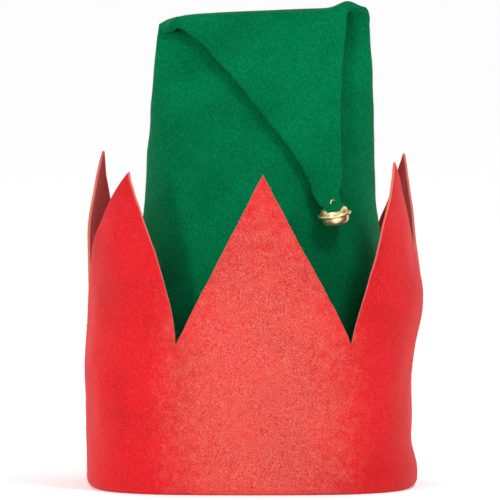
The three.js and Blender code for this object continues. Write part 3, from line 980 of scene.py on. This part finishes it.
    def build(self) -> Piece:
        """Makes the crown's felt.

        Returns:
            The crown, without its material.
        """
        stations = self.stations()
        centres = np.stack([stations["x"], stations["y"], stations["z"]], axis=1)
        places = np.append(0, np.cumsum(np.linalg.norm(np.diff(centres, axis=0), axis=1)))
        self.length = places[-1]
        fold_start = places[len(self.BODY["up"])]
        hollow = places[len(places) - len(self.TAB["pitch"]) - self.closed_rows]
        body = [(0, 2.6), (fold_start - 60, 2.6), (fold_start - 30, 1.1)]
        tip = [(fold_start + 60, 1.1), (self.length - 30, 1.4), (self.length, 0.5)]
        lining = [(0, 4.5), (fold_start - 40, 4.5), (fold_start, 2.2), (hollow, 2.6)]
        outer = self.rings(stations, places, spread(body + tip), 0.0)
        inner = self.rings(stations, places, spread(lining), self.felt)
        self.inside = inner
        end = self.rings(stations, places, np.array([self.length]), 0.0)[0]
        heart = end.mean(axis=0)
        ends = np.array([heart + (end - heart) * share for share in (0.9, 0.6, 0.25)])
        rings = np.concatenate([inner[::-1], outer, ends])
        points = np.vstack([rings.reshape(-1, 3), rings[0].mean(axis=0), rings[-1].mean(axis=0)])
        points[:, 0] += self.middle.x
        points[:, 1] += self.middle.y
        piece = make_object("crown_felt", points, closed_faces(len(rings), self.sides, True))
        nap = np.zeros((len(rings), self.sides))
        nap[len(inner) :] = 1.0
        give_attribute(piece, "nap", np.append(nap.ravel(), [0, 1]))
        give_attribute(piece, "cut", np.zeros(len(points)))
        return piece

    def rings(self, stations: Columns, places: np.ndarray, wanted: np.ndarray, set_in: float) -> np.ndarray:
        """Makes rings of points on one face of the felt.

        Args:
            stations: The crown's cross-sections.
            places: Where they are along its length.
            wanted: Where the rings are wanted.
            set_in: How far the face lies inside the outer one.

        Returns:
            An array of rings by sides by coordinates.
        """
        at = smooth(stations, places, wanted)
        shares = self.shares()
        sizes = zip(at["wide"], at["deep"], at["square"])
        angles = np.array([even_angles(*size, shares) for size in sizes])
        square = at["square"][:, None]
        wide, deep = at["wide"][:, None], at["deep"][:, None]
        across, through = superellipse(angles, square)
        out = np.stack([across / wide, through / deep], axis=2)
        out /= np.linalg.norm(out, axis=2, keepdims=True)
        depth = self.dent_depth(wanted[:, None] / self.length, angles / TAU)
        flat = np.stack([across * (wide - set_in), through * (deep - set_in)], axis=2)
        flat -= out * depth[:, :, None]
        level = np.zeros_like(across)[:, :, None]
        matrices = turns(at["pitch"], at["roll"], at["yaw"])
        turned = np.einsum("rij,rsj->rsi", matrices, np.concatenate([flat, level], axis=2))
        turned += np.stack([at["x"], at["y"], at["z"]], axis=1)[:, None, :]
        turned[:, :, 2] += self.crest_lift(across) * at["crest"][:, None]
        turned[:, :, 2] += self.lip_lift(turned[:, :, 0]) * at["lip"][:, None]
        facing = np.einsum("rij,rsj->rsi", matrices, np.concatenate([out, level], axis=2))
        loose = np.clip(at["deep"] / self.fold_half_thick - 0.8, 0, 1)
        turned += facing * (ripple(turned, self.ripple_height, 5) * loose[:, None])[:, :, None]
        front = (through < 0) * np.clip(1 - at["lip"], 0, 1)[:, None]
        turned[:, :, 1] += self.crease_depth(turned[:, :, 0], turned[:, :, 2]) * front
        return turned

    def seam_stitches(self) -> list[Piece]:
        """Sews both side seams on the inside, as high as the crown is open.

        Returns:
            One row of stitches for each seam.
        """
        rows = []
        shares = self.shares()
        for seam, inwards in ((Seam.RIGHT, -1.0), (Seam.LEFT, 1.0)):
            column = int(np.argmin(np.abs(shares - seam.value)))
            path = self.inside[:, column] + np.array(self.middle)
            path = path[: int(np.argmax(path[:, 2] > self.seam_top))]
            lift = np.zeros_like(path)
            lift[:, 0] = inwards
            name = f"crown_stitches_{seam.name.lower()}"
            rows.append(Stitches().sew(name, path, lift, GREEN_THREAD))
        return rows

    def shares(self) -> np.ndarray:
        """Gives the columns' shares of the way round, closer together along the two side seams."""
        fine, coarse, near, far = 0.0009, 0.0042, 0.005, 0.012
        spacing = [(0, fine), (near, fine), (far, coarse)]
        for seam in (Seam.LEFT.value, 1):
            spacing += [(seam - far, coarse), (seam - near, fine), (seam + near, fine), (seam + far, coarse)]
        spacing = [*spacing[:-2], (1, fine)]
        rows, dense = count_rows(spacing)
        return np.interp(np.arange(self.sides) / self.sides, rows / rows[-1], dense)

    def lip_lift(self, x: np.ndarray) -> np.ndarray:
        """Gives how far the left end of the fold's lower edge curls up, where the fold gapes."""
        return self.lip_height * np.exp(-(((x - self.lip_across) / self.lip_width) ** 2))

    def crease_depth(self, x: np.ndarray, z: np.ndarray) -> np.ndarray:
        """Gives the depth of the creases in the crown's front at places seen from the front."""
        total = np.zeros_like(x)
        for across, up, long, wide, turn, depth in zip(*self.CREASES.values()):
            cosine, sine = math.cos(math.radians(turn)), math.sin(math.radians(turn))
            along = ((x - across) * cosine + (z - up) * sine) / long
            beside = ((z - up) * cosine - (x - across) * sine) / wide
            total += depth * np.exp(-(along**2) - beside**2)
        return total

    def crest_lift(self, across: np.ndarray) -> np.ndarray:
        """Gives how far the top of the fold is lifted at shares across it."""
        rows = zip(*self.CREST.values())
        rises = [lift * np.exp(-(((across - middle) / wide) ** 2)) for middle, wide, lift in rows]
        return self.fold_half_width * sum(rises)

    def dent_depth(self, along: np.ndarray, round_share: np.ndarray) -> np.ndarray:
        """Gives the depth of the dents at shares of the crown's length and of a turn round it."""
        total = 0.0 * along * round_share
        for at, turn, long, wide, depth in zip(*self.DENTS.values()):
            apart = np.abs(round_share - turn)
            beside = np.minimum(apart, 1 - apart) / wide
            total = total + depth * np.exp(-(beside**2) - ((along - at) / long) ** 2)
        total *= self.hem_half_width
        for seam in (Seam.LEFT.value, Seam.RIGHT.value):
            apart = np.abs(round_share - seam)
            total += self.seam_depth * np.exp(-((np.minimum(apart, 1 - apart) / self.seam_width) ** 2))
        return total


@dataclass
class Band:
    """The red felt band: turned up round the crown, cut into six points and rolled under at the floor."""

    middle: Vector
    felt: float = 1.6
    half_width: float = 97
    half_depth: float = 89
    squareness: float = 3.1
    notch_height: float = 87
    point_height: float = 187
    hem_roll: float = 4.6
    hem_lip: float = 8.5
    rest_flat: float = 2.6
    columns_each: int = 36
    rows: int = 64
    roll_steps: int = 19
    inside_nap: float = 0.35
    ripple_height: float = 0.4
    edge_bevel: float = 0.4
    flat: tuple[float, float] = (0.611, 0.205)
    area: float = 0.0905
    column: Columns = field(init=False)
    here: np.ndarray = field(init=False)
    along: np.ndarray = field(init=False)
    out: np.ndarray = field(init=False)

    SWAY = table(
        "up left right front back",
        [
            (0.0, 1.0, 1.0, 1.0, 1.0),
            (0.06, 1.0, 1.0, 1.0, 1.0),
            (0.13, 1.0, 0.968, 1.0, 0.995),
            (0.2, 1.005, 0.965, 1.0, 0.99),
            (0.38, 1.01, 0.975, 0.995, 0.99),
            (0.58, 0.995, 1.035, 1.0, 1.0),
            (0.82, 1.01, 0.995, 1.01, 1.02),
            (1.0, 1.0, 0.985, 1.0, 1.02),
        ],
    )
    POINTS = table(
        "at tall lean swing before after",
        [
            (0.01, 0.998, 0.0, 0.0, 1.0, 1.0),
            (0.175, 1.025, -0.07, -0.02, 0.66, 0.9),
            (0.345, 1.025, 0.02, -0.05, 0.85, 1.0),
            (0.512, 1.02, 0.01, 0.0, 1.0, 1.0),
            (0.672, 1.035, -0.035, 0.02, 0.85, 0.74),
            (0.848, 1.0, -0.07, 0.17, 0.84, 0.72),
        ],
    )

    def outline(self, share: np.ndarray) -> np.ndarray:
        """Gives places on the band's outline at the floor.

        Args:
            share: Shares of the way round, from the front to the right.

        Returns:
            The places, as an array of points.
        """
        fine = 4320
        angle = np.arange(fine + 1) / fine * TAU - TAU / 4
        across, back = superellipse(angle, np.full(fine + 1, self.squareness))
        x, y = across * self.half_width, back * self.half_depth
        lengths = np.append(0, np.cumsum(np.hypot(np.diff(x), np.diff(y))))
        wanted = np.mod(share, 1) * lengths[-1]
        return np.stack([np.interp(wanted, lengths, x), np.interp(wanted, lengths, y)], axis=1)

    def columns(self) -> Columns:
        """Lines up the band's columns, at its tips, its notches and even steps between them.

        Returns:
            Each column's share of the way round, its rise from notch to tip, and its point's own sizes.
        """
        points = self.POINTS
        found: dict[str, list[np.ndarray]] = {name: [] for name in ("share", "rise", "tall", "lean", "swing")}
        step = np.arange(self.columns_each) / self.columns_each
        for i, at in enumerate(points["at"]):
            j = (i + 1) % len(points["at"])
            following = points["at"][j] + (1 if j == 0 else 0)
            notch = (at + following) / 2
            halves = ((at, notch, 1 - step, i, "after"), (notch, following, step, j, "before"))
            for start, end, rise, owner, flank in halves:
                found["share"].append(start + (end - start) * step)
                found["rise"].append(rise ** points[flank][owner])
                for name in ("tall", "lean", "swing"):
                    found[name].append(np.full(self.columns_each, points[name][owner]))
        return {name: np.concatenate(parts) for name, parts in found.items()}

    def place(self, set_in: float, up: np.ndarray) -> np.ndarray:
        """Gives a place on the band in each column.

        Args:
            set_in: How far inside the outer face.
            up: Each column's height.

        Returns:
            One point for each column.
        """
        here, along, out = self.here, self.along, self.out
        level = smooth(
            {name: values for name, values in self.SWAY.items() if name != "up"},
            self.SWAY["up"],
            np.minimum(up / self.point_height, 1),
        )
        right = (1 + here[:, 0] / self.half_width) / 2
        back = (1 + here[:, 1] / self.half_depth) / 2
        rise = np.maximum(0, (up - self.notch_height) / (self.point_height - self.notch_height))
        lean = self.column["lean"] * rise**2 * self.half_width - set_in
        swing = self.column["swing"] * rise * self.half_width
        x = here[:, 0] * (level["left"] + (level["right"] - level["left"]) * right)
        y = here[:, 1] * (level["front"] + (level["back"] - level["front"]) * back)
        moved = out * lean[:, None] + along * swing[:, None]
        placed = np.stack([x + moved[:, 0] + self.middle.x, y + moved[:, 1] + self.middle.y, up], axis=1)
        placed[:, :2] += out * ripple(placed, self.ripple_height, 9)[:, None]
        return placed

    def build(self) -> Piece:
        """Makes the band's felt.

        Returns:
            The band, without its material.
        """
        self.column = self.columns()
        share = self.column["share"]
        step = 1 / 240
        self.here = self.outline(share)
        along = self.outline(share + step) - self.outline(share - step)
        self.along = along / np.linalg.norm(along, axis=1, keepdims=True)
        self.out = np.stack([self.along[:, 1], -self.along[:, 0]], axis=1)
        count = len(share)
        full = np.ones(count)
        above_notch = self.column["tall"] * self.point_height - self.notch_height
        tall = self.notch_height + above_notch * self.column["rise"]
        tall += 0.22 * np.sin(share * TAU * 37 + 1) + 0.18 * np.sin(share * TAU * 83)

        def level(set_in: float, up: float) -> np.ndarray:
            """Gives a ring at one height."""
            return self.place(set_in, full * up)

        def roll(radius: float, turn: float) -> tuple[float, float]:
            """Gives a place on the rolled lower edge."""
            angle = math.radians(turn)
            return self.hem_roll - radius * math.cos(angle), self.hem_roll - radius * math.sin(angle)

        far_side = 2 * self.hem_roll
        inside = self.hem_roll - self.felt
        bevel = 0.3
        lip_end = [(far_side - self.felt + bevel, self.hem_lip), (far_side - bevel, self.hem_lip)]
        rings = [level(*place) for place in (*lip_end, (far_side, self.hem_lip - self.edge_bevel))]
        half_flat = self.rest_flat / 2
        roll_turns = np.linspace(0, 180, self.roll_steps)
        for turn in roll_turns[-2:0:-1]:
            set_in, up = roll(self.hem_roll, turn)
            rings.append(level(set_in, 0.0 if abs(set_in - self.hem_roll) <= half_flat else up))
        rise = tall - self.edge_bevel - self.hem_roll
        heights = [self.hem_roll + rise * row for row in np.linspace(0, 1, self.rows)]
        outer_start = len(rings)
        rings += [self.place(0.0, height) for height in heights]
        edge_start = len(rings)
        for set_in, down in ((0.12, 0.15), (0.45, 0.0), (self.felt - 0.45, 0.0), (self.felt - 0.12, 0.15)):
            rings.append(self.place(set_in, tall - down))
        inner_start = len(rings)
        rings += [self.place(self.felt, height) for height in heights[::-1]]
        rings += [level(*roll(inside, turn)) for turn in roll_turns[1:]]
        points = np.concatenate(rings)
        piece = make_object("band_felt", points, closed_faces(len(rings), count, False))
        cut = np.zeros(len(rings))
        cut[edge_start:inner_start] = 1.0
        nap = np.ones(len(rings))
        nap[inner_start:] = self.inside_nap
        nap[:outer_start] = 0.0
        give_attribute(piece, "cut", np.repeat(cut, count))
        give_attribute(piece, "nap", np.repeat(nap, count))
        return piece

    def hem_stitches(self) -> Piece:
        """Sews the rolled hem's lip with a row of stitches, on the side that looks into the hat."""
        up = (self.hem_roll + self.hem_lip) / 2
        path = self.place(2 * self.hem_roll, np.full(len(self.here), up))
        lift = np.column_stack([-self.out, np.zeros(len(self.out))])
        return Stitches().sew("band_stitches", path, lift, RED_THREAD)


@dataclass
class Bell:
    """The jingle bell: two crimped shells with a wire loop, a ball inside, and the thread that holds it."""

    place: BellPlace
    radius: float = 8
    cap_height: float = 4.8
    cup_depth: float = 6.2
    sheet: float = 0.6
    squareness: float = 3.8
    rim_width: float = 1.6
    rim_thickness: float = 0.6
    seam_gap: float = 0.3
    slot_reach: float = 5
    slot_width: float = 1.5
    slot_eye_radius: float = 1.5
    pellet_radius: float = 2.2
    shank_radius: float = 1.5
    shank_wire: float = 0.5
    shank_turn: float = 50
    tab_half_thick: float = 0.9
    stitch_radius: float = 0.3
    stitch_length: float = 5.6
    ply_offset: float = 0.14
    ply_radius: float = 0.16
    ply_twist: float = 4.2
    sides: int = 96

    @property
    def stitch_up(self) -> float:
        """The height of the thread over the rim, on top of the felt tab."""
        return self.cap_height + 2 * self.seam_gap + 2 * self.tab_half_thick + self.stitch_radius

    @property
    def pellet_up(self) -> float:
        """The height of the ball's middle over the rim, as it rests in the lower shell."""
        return self.sheet + self.seam_gap + self.pellet_radius - self.cup_depth

    def profile(self, radius: float, top: float, least: float) -> np.ndarray:
        """Gives the side profile of a shell, from its rim to its pole.

        Args:
            radius: The shell's radius.
            top: Its height.
            least: The height that the profile starts at.

        Returns:
            Distances from the axis and heights.
        """
        steps = 22
        angle = np.linspace(0, TAU / 4, steps)
        out, up = superellipse(angle, np.full(steps, self.squareness))
        out[-1] = 0.0
        keep = up * top > least
        keep[0] = False
        start = [(radius, least)]
        return np.array(start + list(zip(out[keep] * radius, up[keep] * top)))

    def shell(self, name: str, height: float, down: bool) -> Piece:
        """Makes a shell with its share of the crimped rim.

        Args:
            name: The piece's name.
            height: The shell's height.
            down: Whether it opens upwards, as the lower one does.

        Returns:
            The shell, in the bell's place.
        """
        low = self.seam_gap / 2
        edge = self.radius + self.rim_width
        thick = self.rim_thickness
        outside = self.profile(self.radius, height, thick + 0.15)
        inside = self.profile(self.radius - self.sheet, height - self.sheet, low)[::-1]
        flange = [
            (edge - 0.4, low),
            (edge - 0.33, low + 0.1),
            (edge - 0.35, thick - 0.12),
            (edge - 0.5, thick),
        ]
        hook = [
            (edge - 0.28, low),
            (edge - 0.22, -thick + 0.05),
            (edge - 0.36, -thick - 0.06),
            (edge - 0.7, -thick - 0.08),
            (edge - 0.82, -thick - 0.2),
            (edge - 0.72, -thick - 0.36),
            (edge - 0.3, -thick - 0.4),
            (edge + 0.05, -thick - 0.26),
            (edge + 0.2, -thick + 0.1),
            (edge + 0.2, low),
            (edge + 0.08, thick - 0.08),
            (edge - 0.16, thick + 0.08),
        ]
        bead = [*(hook if down else flange), (self.radius + 0.45, thick - 0.04), (self.radius + 0.15, thick)]
        line = np.array([*inside[1:], (self.radius - self.sheet + 0.15, low), *bead, *outside[:-1]])
        angle = np.arange(self.sides) / self.sides * TAU
        rings = np.stack(
            [
                line[:, 0][:, None] * np.cos(angle),
                line[:, 0][:, None] * np.sin(angle),
                np.repeat(line[:, 1][:, None], self.sides, axis=1),
            ],
            axis=2,
        )
        poles = np.array([[0, 0, height - self.sheet], [0, 0, height]])
        points = np.vstack([rings.reshape(-1, 3), poles])
        faces = closed_faces(len(line), self.sides, True)
        if down:
            points[:, 2] *= -1
            faces = [face[::-1] for face in faces]
        return make_object(name, points, faces)

    def settle(self, piece: Piece) -> Piece:
        """Moves a piece from the bell's frame to its place on the hat, with its faces turned outwards."""
        matrix = self.place.matrix()
        matrix.translation *= MM
        piece.data.transform(matrix)
        mesh = bmesh.new()
        mesh.from_mesh(piece.data)
        bmesh.ops.recalc_face_normals(mesh, faces=mesh.faces)
        mesh.to_mesh(piece.data)
        mesh.free()
        return piece

    @staticmethod
    def tube(path: np.ndarray, radius: float, sides: int) -> np.ndarray:
        """Makes a round wire or thread along a path.

        Args:
            path: The path's points.
            radius: The wire's radius.
            sides: How many sides it has.

        Returns:
            The points of its rings, and of its two ends.
        """
        tangents = np.gradient(path, axis=0)
        tangents /= np.linalg.norm(tangents, axis=1, keepdims=True)
        angle = np.arange(sides)[:, None] / sides * TAU
        side = np.cross(tangents[0], np.roll(tangents[0], 1) + 0.13)
        rings = []
        for point, tangent in zip(path, tangents):
            side = np.cross(tangent, np.cross(side, tangent))
            side = side / np.linalg.norm(side)
            up = np.cross(tangent, side)
            rings.append(point + radius * (np.cos(angle) * side + np.sin(angle) * up))
        return np.vstack([*rings, path[:1], path[-1:]])

    def build(self) -> tuple[dict[str, Piece], Piece]:
        """Makes the bell's pieces.

        Returns:
            The pieces by their CAD nodes' names, and the wire loop, which is a part of the cap there.
        """
        brass = BRASS.material()
        cap = self.shell("bell_upper_shell", self.cap_height, False)
        cup = self.shell("bell_lower_shell", self.cup_depth, True)
        cut_away(cup, self.slot_cutters())
        pieces = {"bell_cap": cap, "bell_cup": cup, "bell_pellet": self.ball(), "bell_stitch": self.thread()}
        loop = self.loop()
        for piece in (*pieces.values(), loop):
            self.settle(piece)
        for piece in (cap, cup, loop):
            piece.data.materials.clear()
            piece.data.materials.append(brass)
        pieces["bell_pellet"].data.materials.append(STEEL.material())
        pieces["bell_stitch"].data.materials.append(GREEN_THREAD.material())
        return pieces, loop

    def loop(self) -> Piece:
        """Makes the wire loop on the upper shell."""
        centre = self.stitch_up + self.stitch_radius + self.seam_gap + self.shank_wire - self.shank_radius
        foot = self.cap_height - self.sheet * 0.8
        bend = np.linspace(math.pi, 0, 25)
        arch = [self.shank_radius * np.cos(bend), bend * 0, centre + self.shank_radius * np.sin(bend)]
        leg = np.array([[self.shank_radius * 1.04, 0, foot + 0.9], [self.shank_radius * 1.25, 0, foot]])
        path = np.vstack([leg[::-1] * (-1, 1, 1), np.stack(arch, axis=1), leg])
        wire_sides = 12
        faces = closed_faces(len(path), wire_sides, True)
        piece = make_object("bell_loop", self.tube(path, self.shank_wire, wire_sides), faces)
        piece.data.transform(Matrix.Rotation(math.radians(self.shank_turn), 4, "Z"))
        return piece

    def ball(self) -> Piece:
        """Makes the ball that rests in the lower shell."""
        mesh = bpy.data.meshes.new("bell_ball")
        ball = bmesh.new()
        bmesh.ops.create_icosphere(ball, subdivisions=4, radius=self.pellet_radius * MM)
        bmesh.ops.translate(ball, verts=ball.verts, vec=(0, 0, self.pellet_up * MM))
        ball.to_mesh(mesh)
        ball.free()
        mesh.shade_smooth()
        return link("bell_ball", mesh)

    def thread(self) -> Piece:
        """Makes the twisted thread that runs through the loop."""
        steps, sides = 90, 8
        share = np.linspace(-1, 1, steps)
        half = self.stitch_length / 2
        drop = 0.55 * np.maximum(0, np.abs(share) - 0.6) ** 2 / 0.16
        plies = []
        for phase in (0, TAU / 2):
            twist = phase + share * half * self.ply_twist
            height = self.stitch_up + self.ply_offset * np.sin(twist) - drop
            path = np.stack([share * half, self.ply_offset * np.cos(twist), height], axis=1)
            plies.append(self.tube(path, self.ply_radius, sides))
        faces = closed_faces(steps, sides, True)
        faces += [tuple(point + len(plies[0]) for point in face) for face in faces]
        return make_object("bell_thread", np.vstack(plies), faces)

    def slot_cutters(self) -> list[Piece]:
        """Makes the shapes that cut the two crossed slots and their round eyes."""
        cutters = []
        for number, turn in enumerate((45, 135)):
            angle = np.linspace(0, TAU, 32, endpoint=False)
            circle = np.stack([np.cos(angle), np.sin(angle)], axis=1) * self.slot_eye_radius
            half = self.slot_width / 2
            shapes = [circle + (self.slot_reach, 0), circle - (self.slot_reach, 0)]
            box = np.array([(-1, -1), (1, -1), (1, 1), (-1, 1)]) * (self.slot_reach, half)
            for outline in (*shapes, box):
                count = len(outline)
                low = np.column_stack([outline, np.full(count, -1.5 * self.cup_depth)])
                high = np.column_stack([outline, np.full(count, -0.5 * self.cup_depth)])
                points = np.vstack([low, high, low.mean(axis=0), high.mean(axis=0)])
                cutter = make_object(f"slot_{number}", points, closed_faces(2, count, True))
                cutter.data.transform(Matrix.Rotation(math.radians(turn), 4, "Z"))
                cutters.append(cutter)
        return cutters


@dataclass
class Studio:
    """The camera, the lights and the floor."""

    aim: Vector = field(default_factory=lambda: Vector((-0.0024, 0, 0.1374)))
    distance: float = 6.0
    rise: float = 3.5
    frame_width: float = 0.294
    sensor: float = 36
    sky_front: float = 0.6
    sky_back: float = 1.04
    floor_half: float = 30

    LIGHTS = {
        "key": ((0.8, -1.0, 1.7), 0.4, 14),
        "front": ((-1.2, -2.3, 0.5), 0.35, 20),
        "back": ((-0.8, 1.5, 1.1), 0.8, 5),
    }

    def build(self) -> None:
        """Sets up the camera, the lights, the sky and the floor."""
        scene = bpy.context.scene
        scene.view_settings.view_transform = "Standard"
        data = bpy.data.cameras.new("camera")
        data.sensor_width = self.sensor
        data.lens = self.sensor * self.distance / self.frame_width
        data.clip_end = 100
        camera = link("camera", data)
        angle = math.radians(self.rise)
        back = Vector((0, -math.cos(angle), math.sin(angle))) * self.distance
        camera.location = self.aim + back
        camera.rotation_euler = (-back).to_track_quat("-Z", "Y").to_euler()
        scene.camera = camera
        for name, (place, size, power) in self.LIGHTS.items():
            self.light(name, place, size, power)
        self.sky()
        self.floor()

    def sky(self) -> None:
        """Adds a white sky that is brighter behind the hat than in front."""
        world = bpy.data.worlds.new("sky")
        bpy.context.scene.world = world
        world.use_nodes = True
        graph = Graph(world.node_tree)
        heading = graph.add("ShaderNodeTexCoord").outputs["Generated"]
        back = graph.add("ShaderNodeSeparateXYZ", {0: heading}).outputs[1]
        glow = {"From Min": -0.3, "From Max": 0.6, "To Min": self.sky_front, "To Max": self.sky_back}
        strength = graph.add("ShaderNodeMapRange", {"Value": back, **glow}).outputs[0]
        graph.fill(world.node_tree.nodes["Background"], {"Color": (1, 1, 1, 1), "Strength": strength})

    def light(self, name: str, place: tuple[float, float, float], size: float, power: float) -> None:
        """Adds a soft light that looks at the hat.

        Args:
            name: The light's name.
            place: Where it stands.
            size: The width of its softbox.
            power: Its power in watts.
        """
        data = bpy.data.lights.new(name, "AREA")
        data.size = size
        data.energy = power
        lamp = link(name, data)
        lamp.location = place
        lamp.rotation_euler = (self.aim - Vector(place)).to_track_quat("-Z", "Y").to_euler()

    def floor(self) -> None:
        """Adds the plain pale floor."""
        corners = np.array([(-1, -1, 0), (1, -1, 0), (1, 1, 0), (-1, 1, 0)])
        floor = make_object("floor", corners * self.floor_half / MM, [(0, 1, 2, 3)])
        material, graph, shader = new_material("pale_floor")
        graph.fill(shader, {"Base Color": (0.98, 0.98, 0.98, 1), "Roughness": 0.9, "Specular IOR Level": 0.1})
        graph.fill(shader, {"Emission Color": (1, 1, 1, 1), "Emission Strength": 0.2})
        floor.data.materials.append(material)


def main() -> None:
    """Builds the hat's pieces in order and dresses them."""
    logging.basicConfig(level=logging.INFO, format="%(message)s", stream=sys.stdout)
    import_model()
    Studio().build()
    LOG.info("studio: camera, lights, floor")

    low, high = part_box("bell_pellet")
    bell = Bell(BellPlace(Vector()))
    pellet_offset = bell.place.matrix().to_3x3() @ Vector((0, 0, bell.pellet_up))
    bell.place.middle = (Vector(low) + Vector(high)) / 2 / MM - pellet_offset
    crown_maker = Crown(OPENING_MIDDLE, BellPlace(bell.place.middle - OPENING_MIDDLE))
    crown = crown_maker.build()
    crown.data.materials.append(GREEN_FELT.material())
    LOG.info("crown: %d faces", len(crown.data.polygons))
    band_maker = Band(OPENING_MIDDLE)
    band = band_maker.build()
    band.data.materials.append(RED_FELT.material())
    LOG.info("band: %d faces", len(band.data.polygons))
    trim: dict[str, list[Piece]] = {"crown": [], "band": []}
    for felt, node, finish in ((crown, "crown", GREEN_NAP), (band, "band", RED_NAP)):
        for name, nap in (("nap", LONG_NAP), ("fuzz", SHORT_FUZZ)):
            fibres = nap.grow(f"{node}_{name}", felt, finish)
            trim[node].append(fibres)
            LOG.info("%s: %d faces", fibres.name, len(fibres.data.polygons))

    pieces, loop = bell.build()
    LOG.info("bell: %d pieces", len(pieces) + 1)
    trim["crown"] += crown_maker.seam_stitches()
    trim["band"].append(band_maker.hem_stitches())
    LOG.info("on the felt: %d pieces", len(trim["crown"]) + len(trim["band"]))

    for node, piece in (*pieces.items(), ("crown", crown), ("band", band)):
        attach(piece, "root")
        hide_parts(node)
    for piece in (loop, *trim["crown"], *trim["band"]):
        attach(piece, "root")


if __name__ == "__main__":
    main()
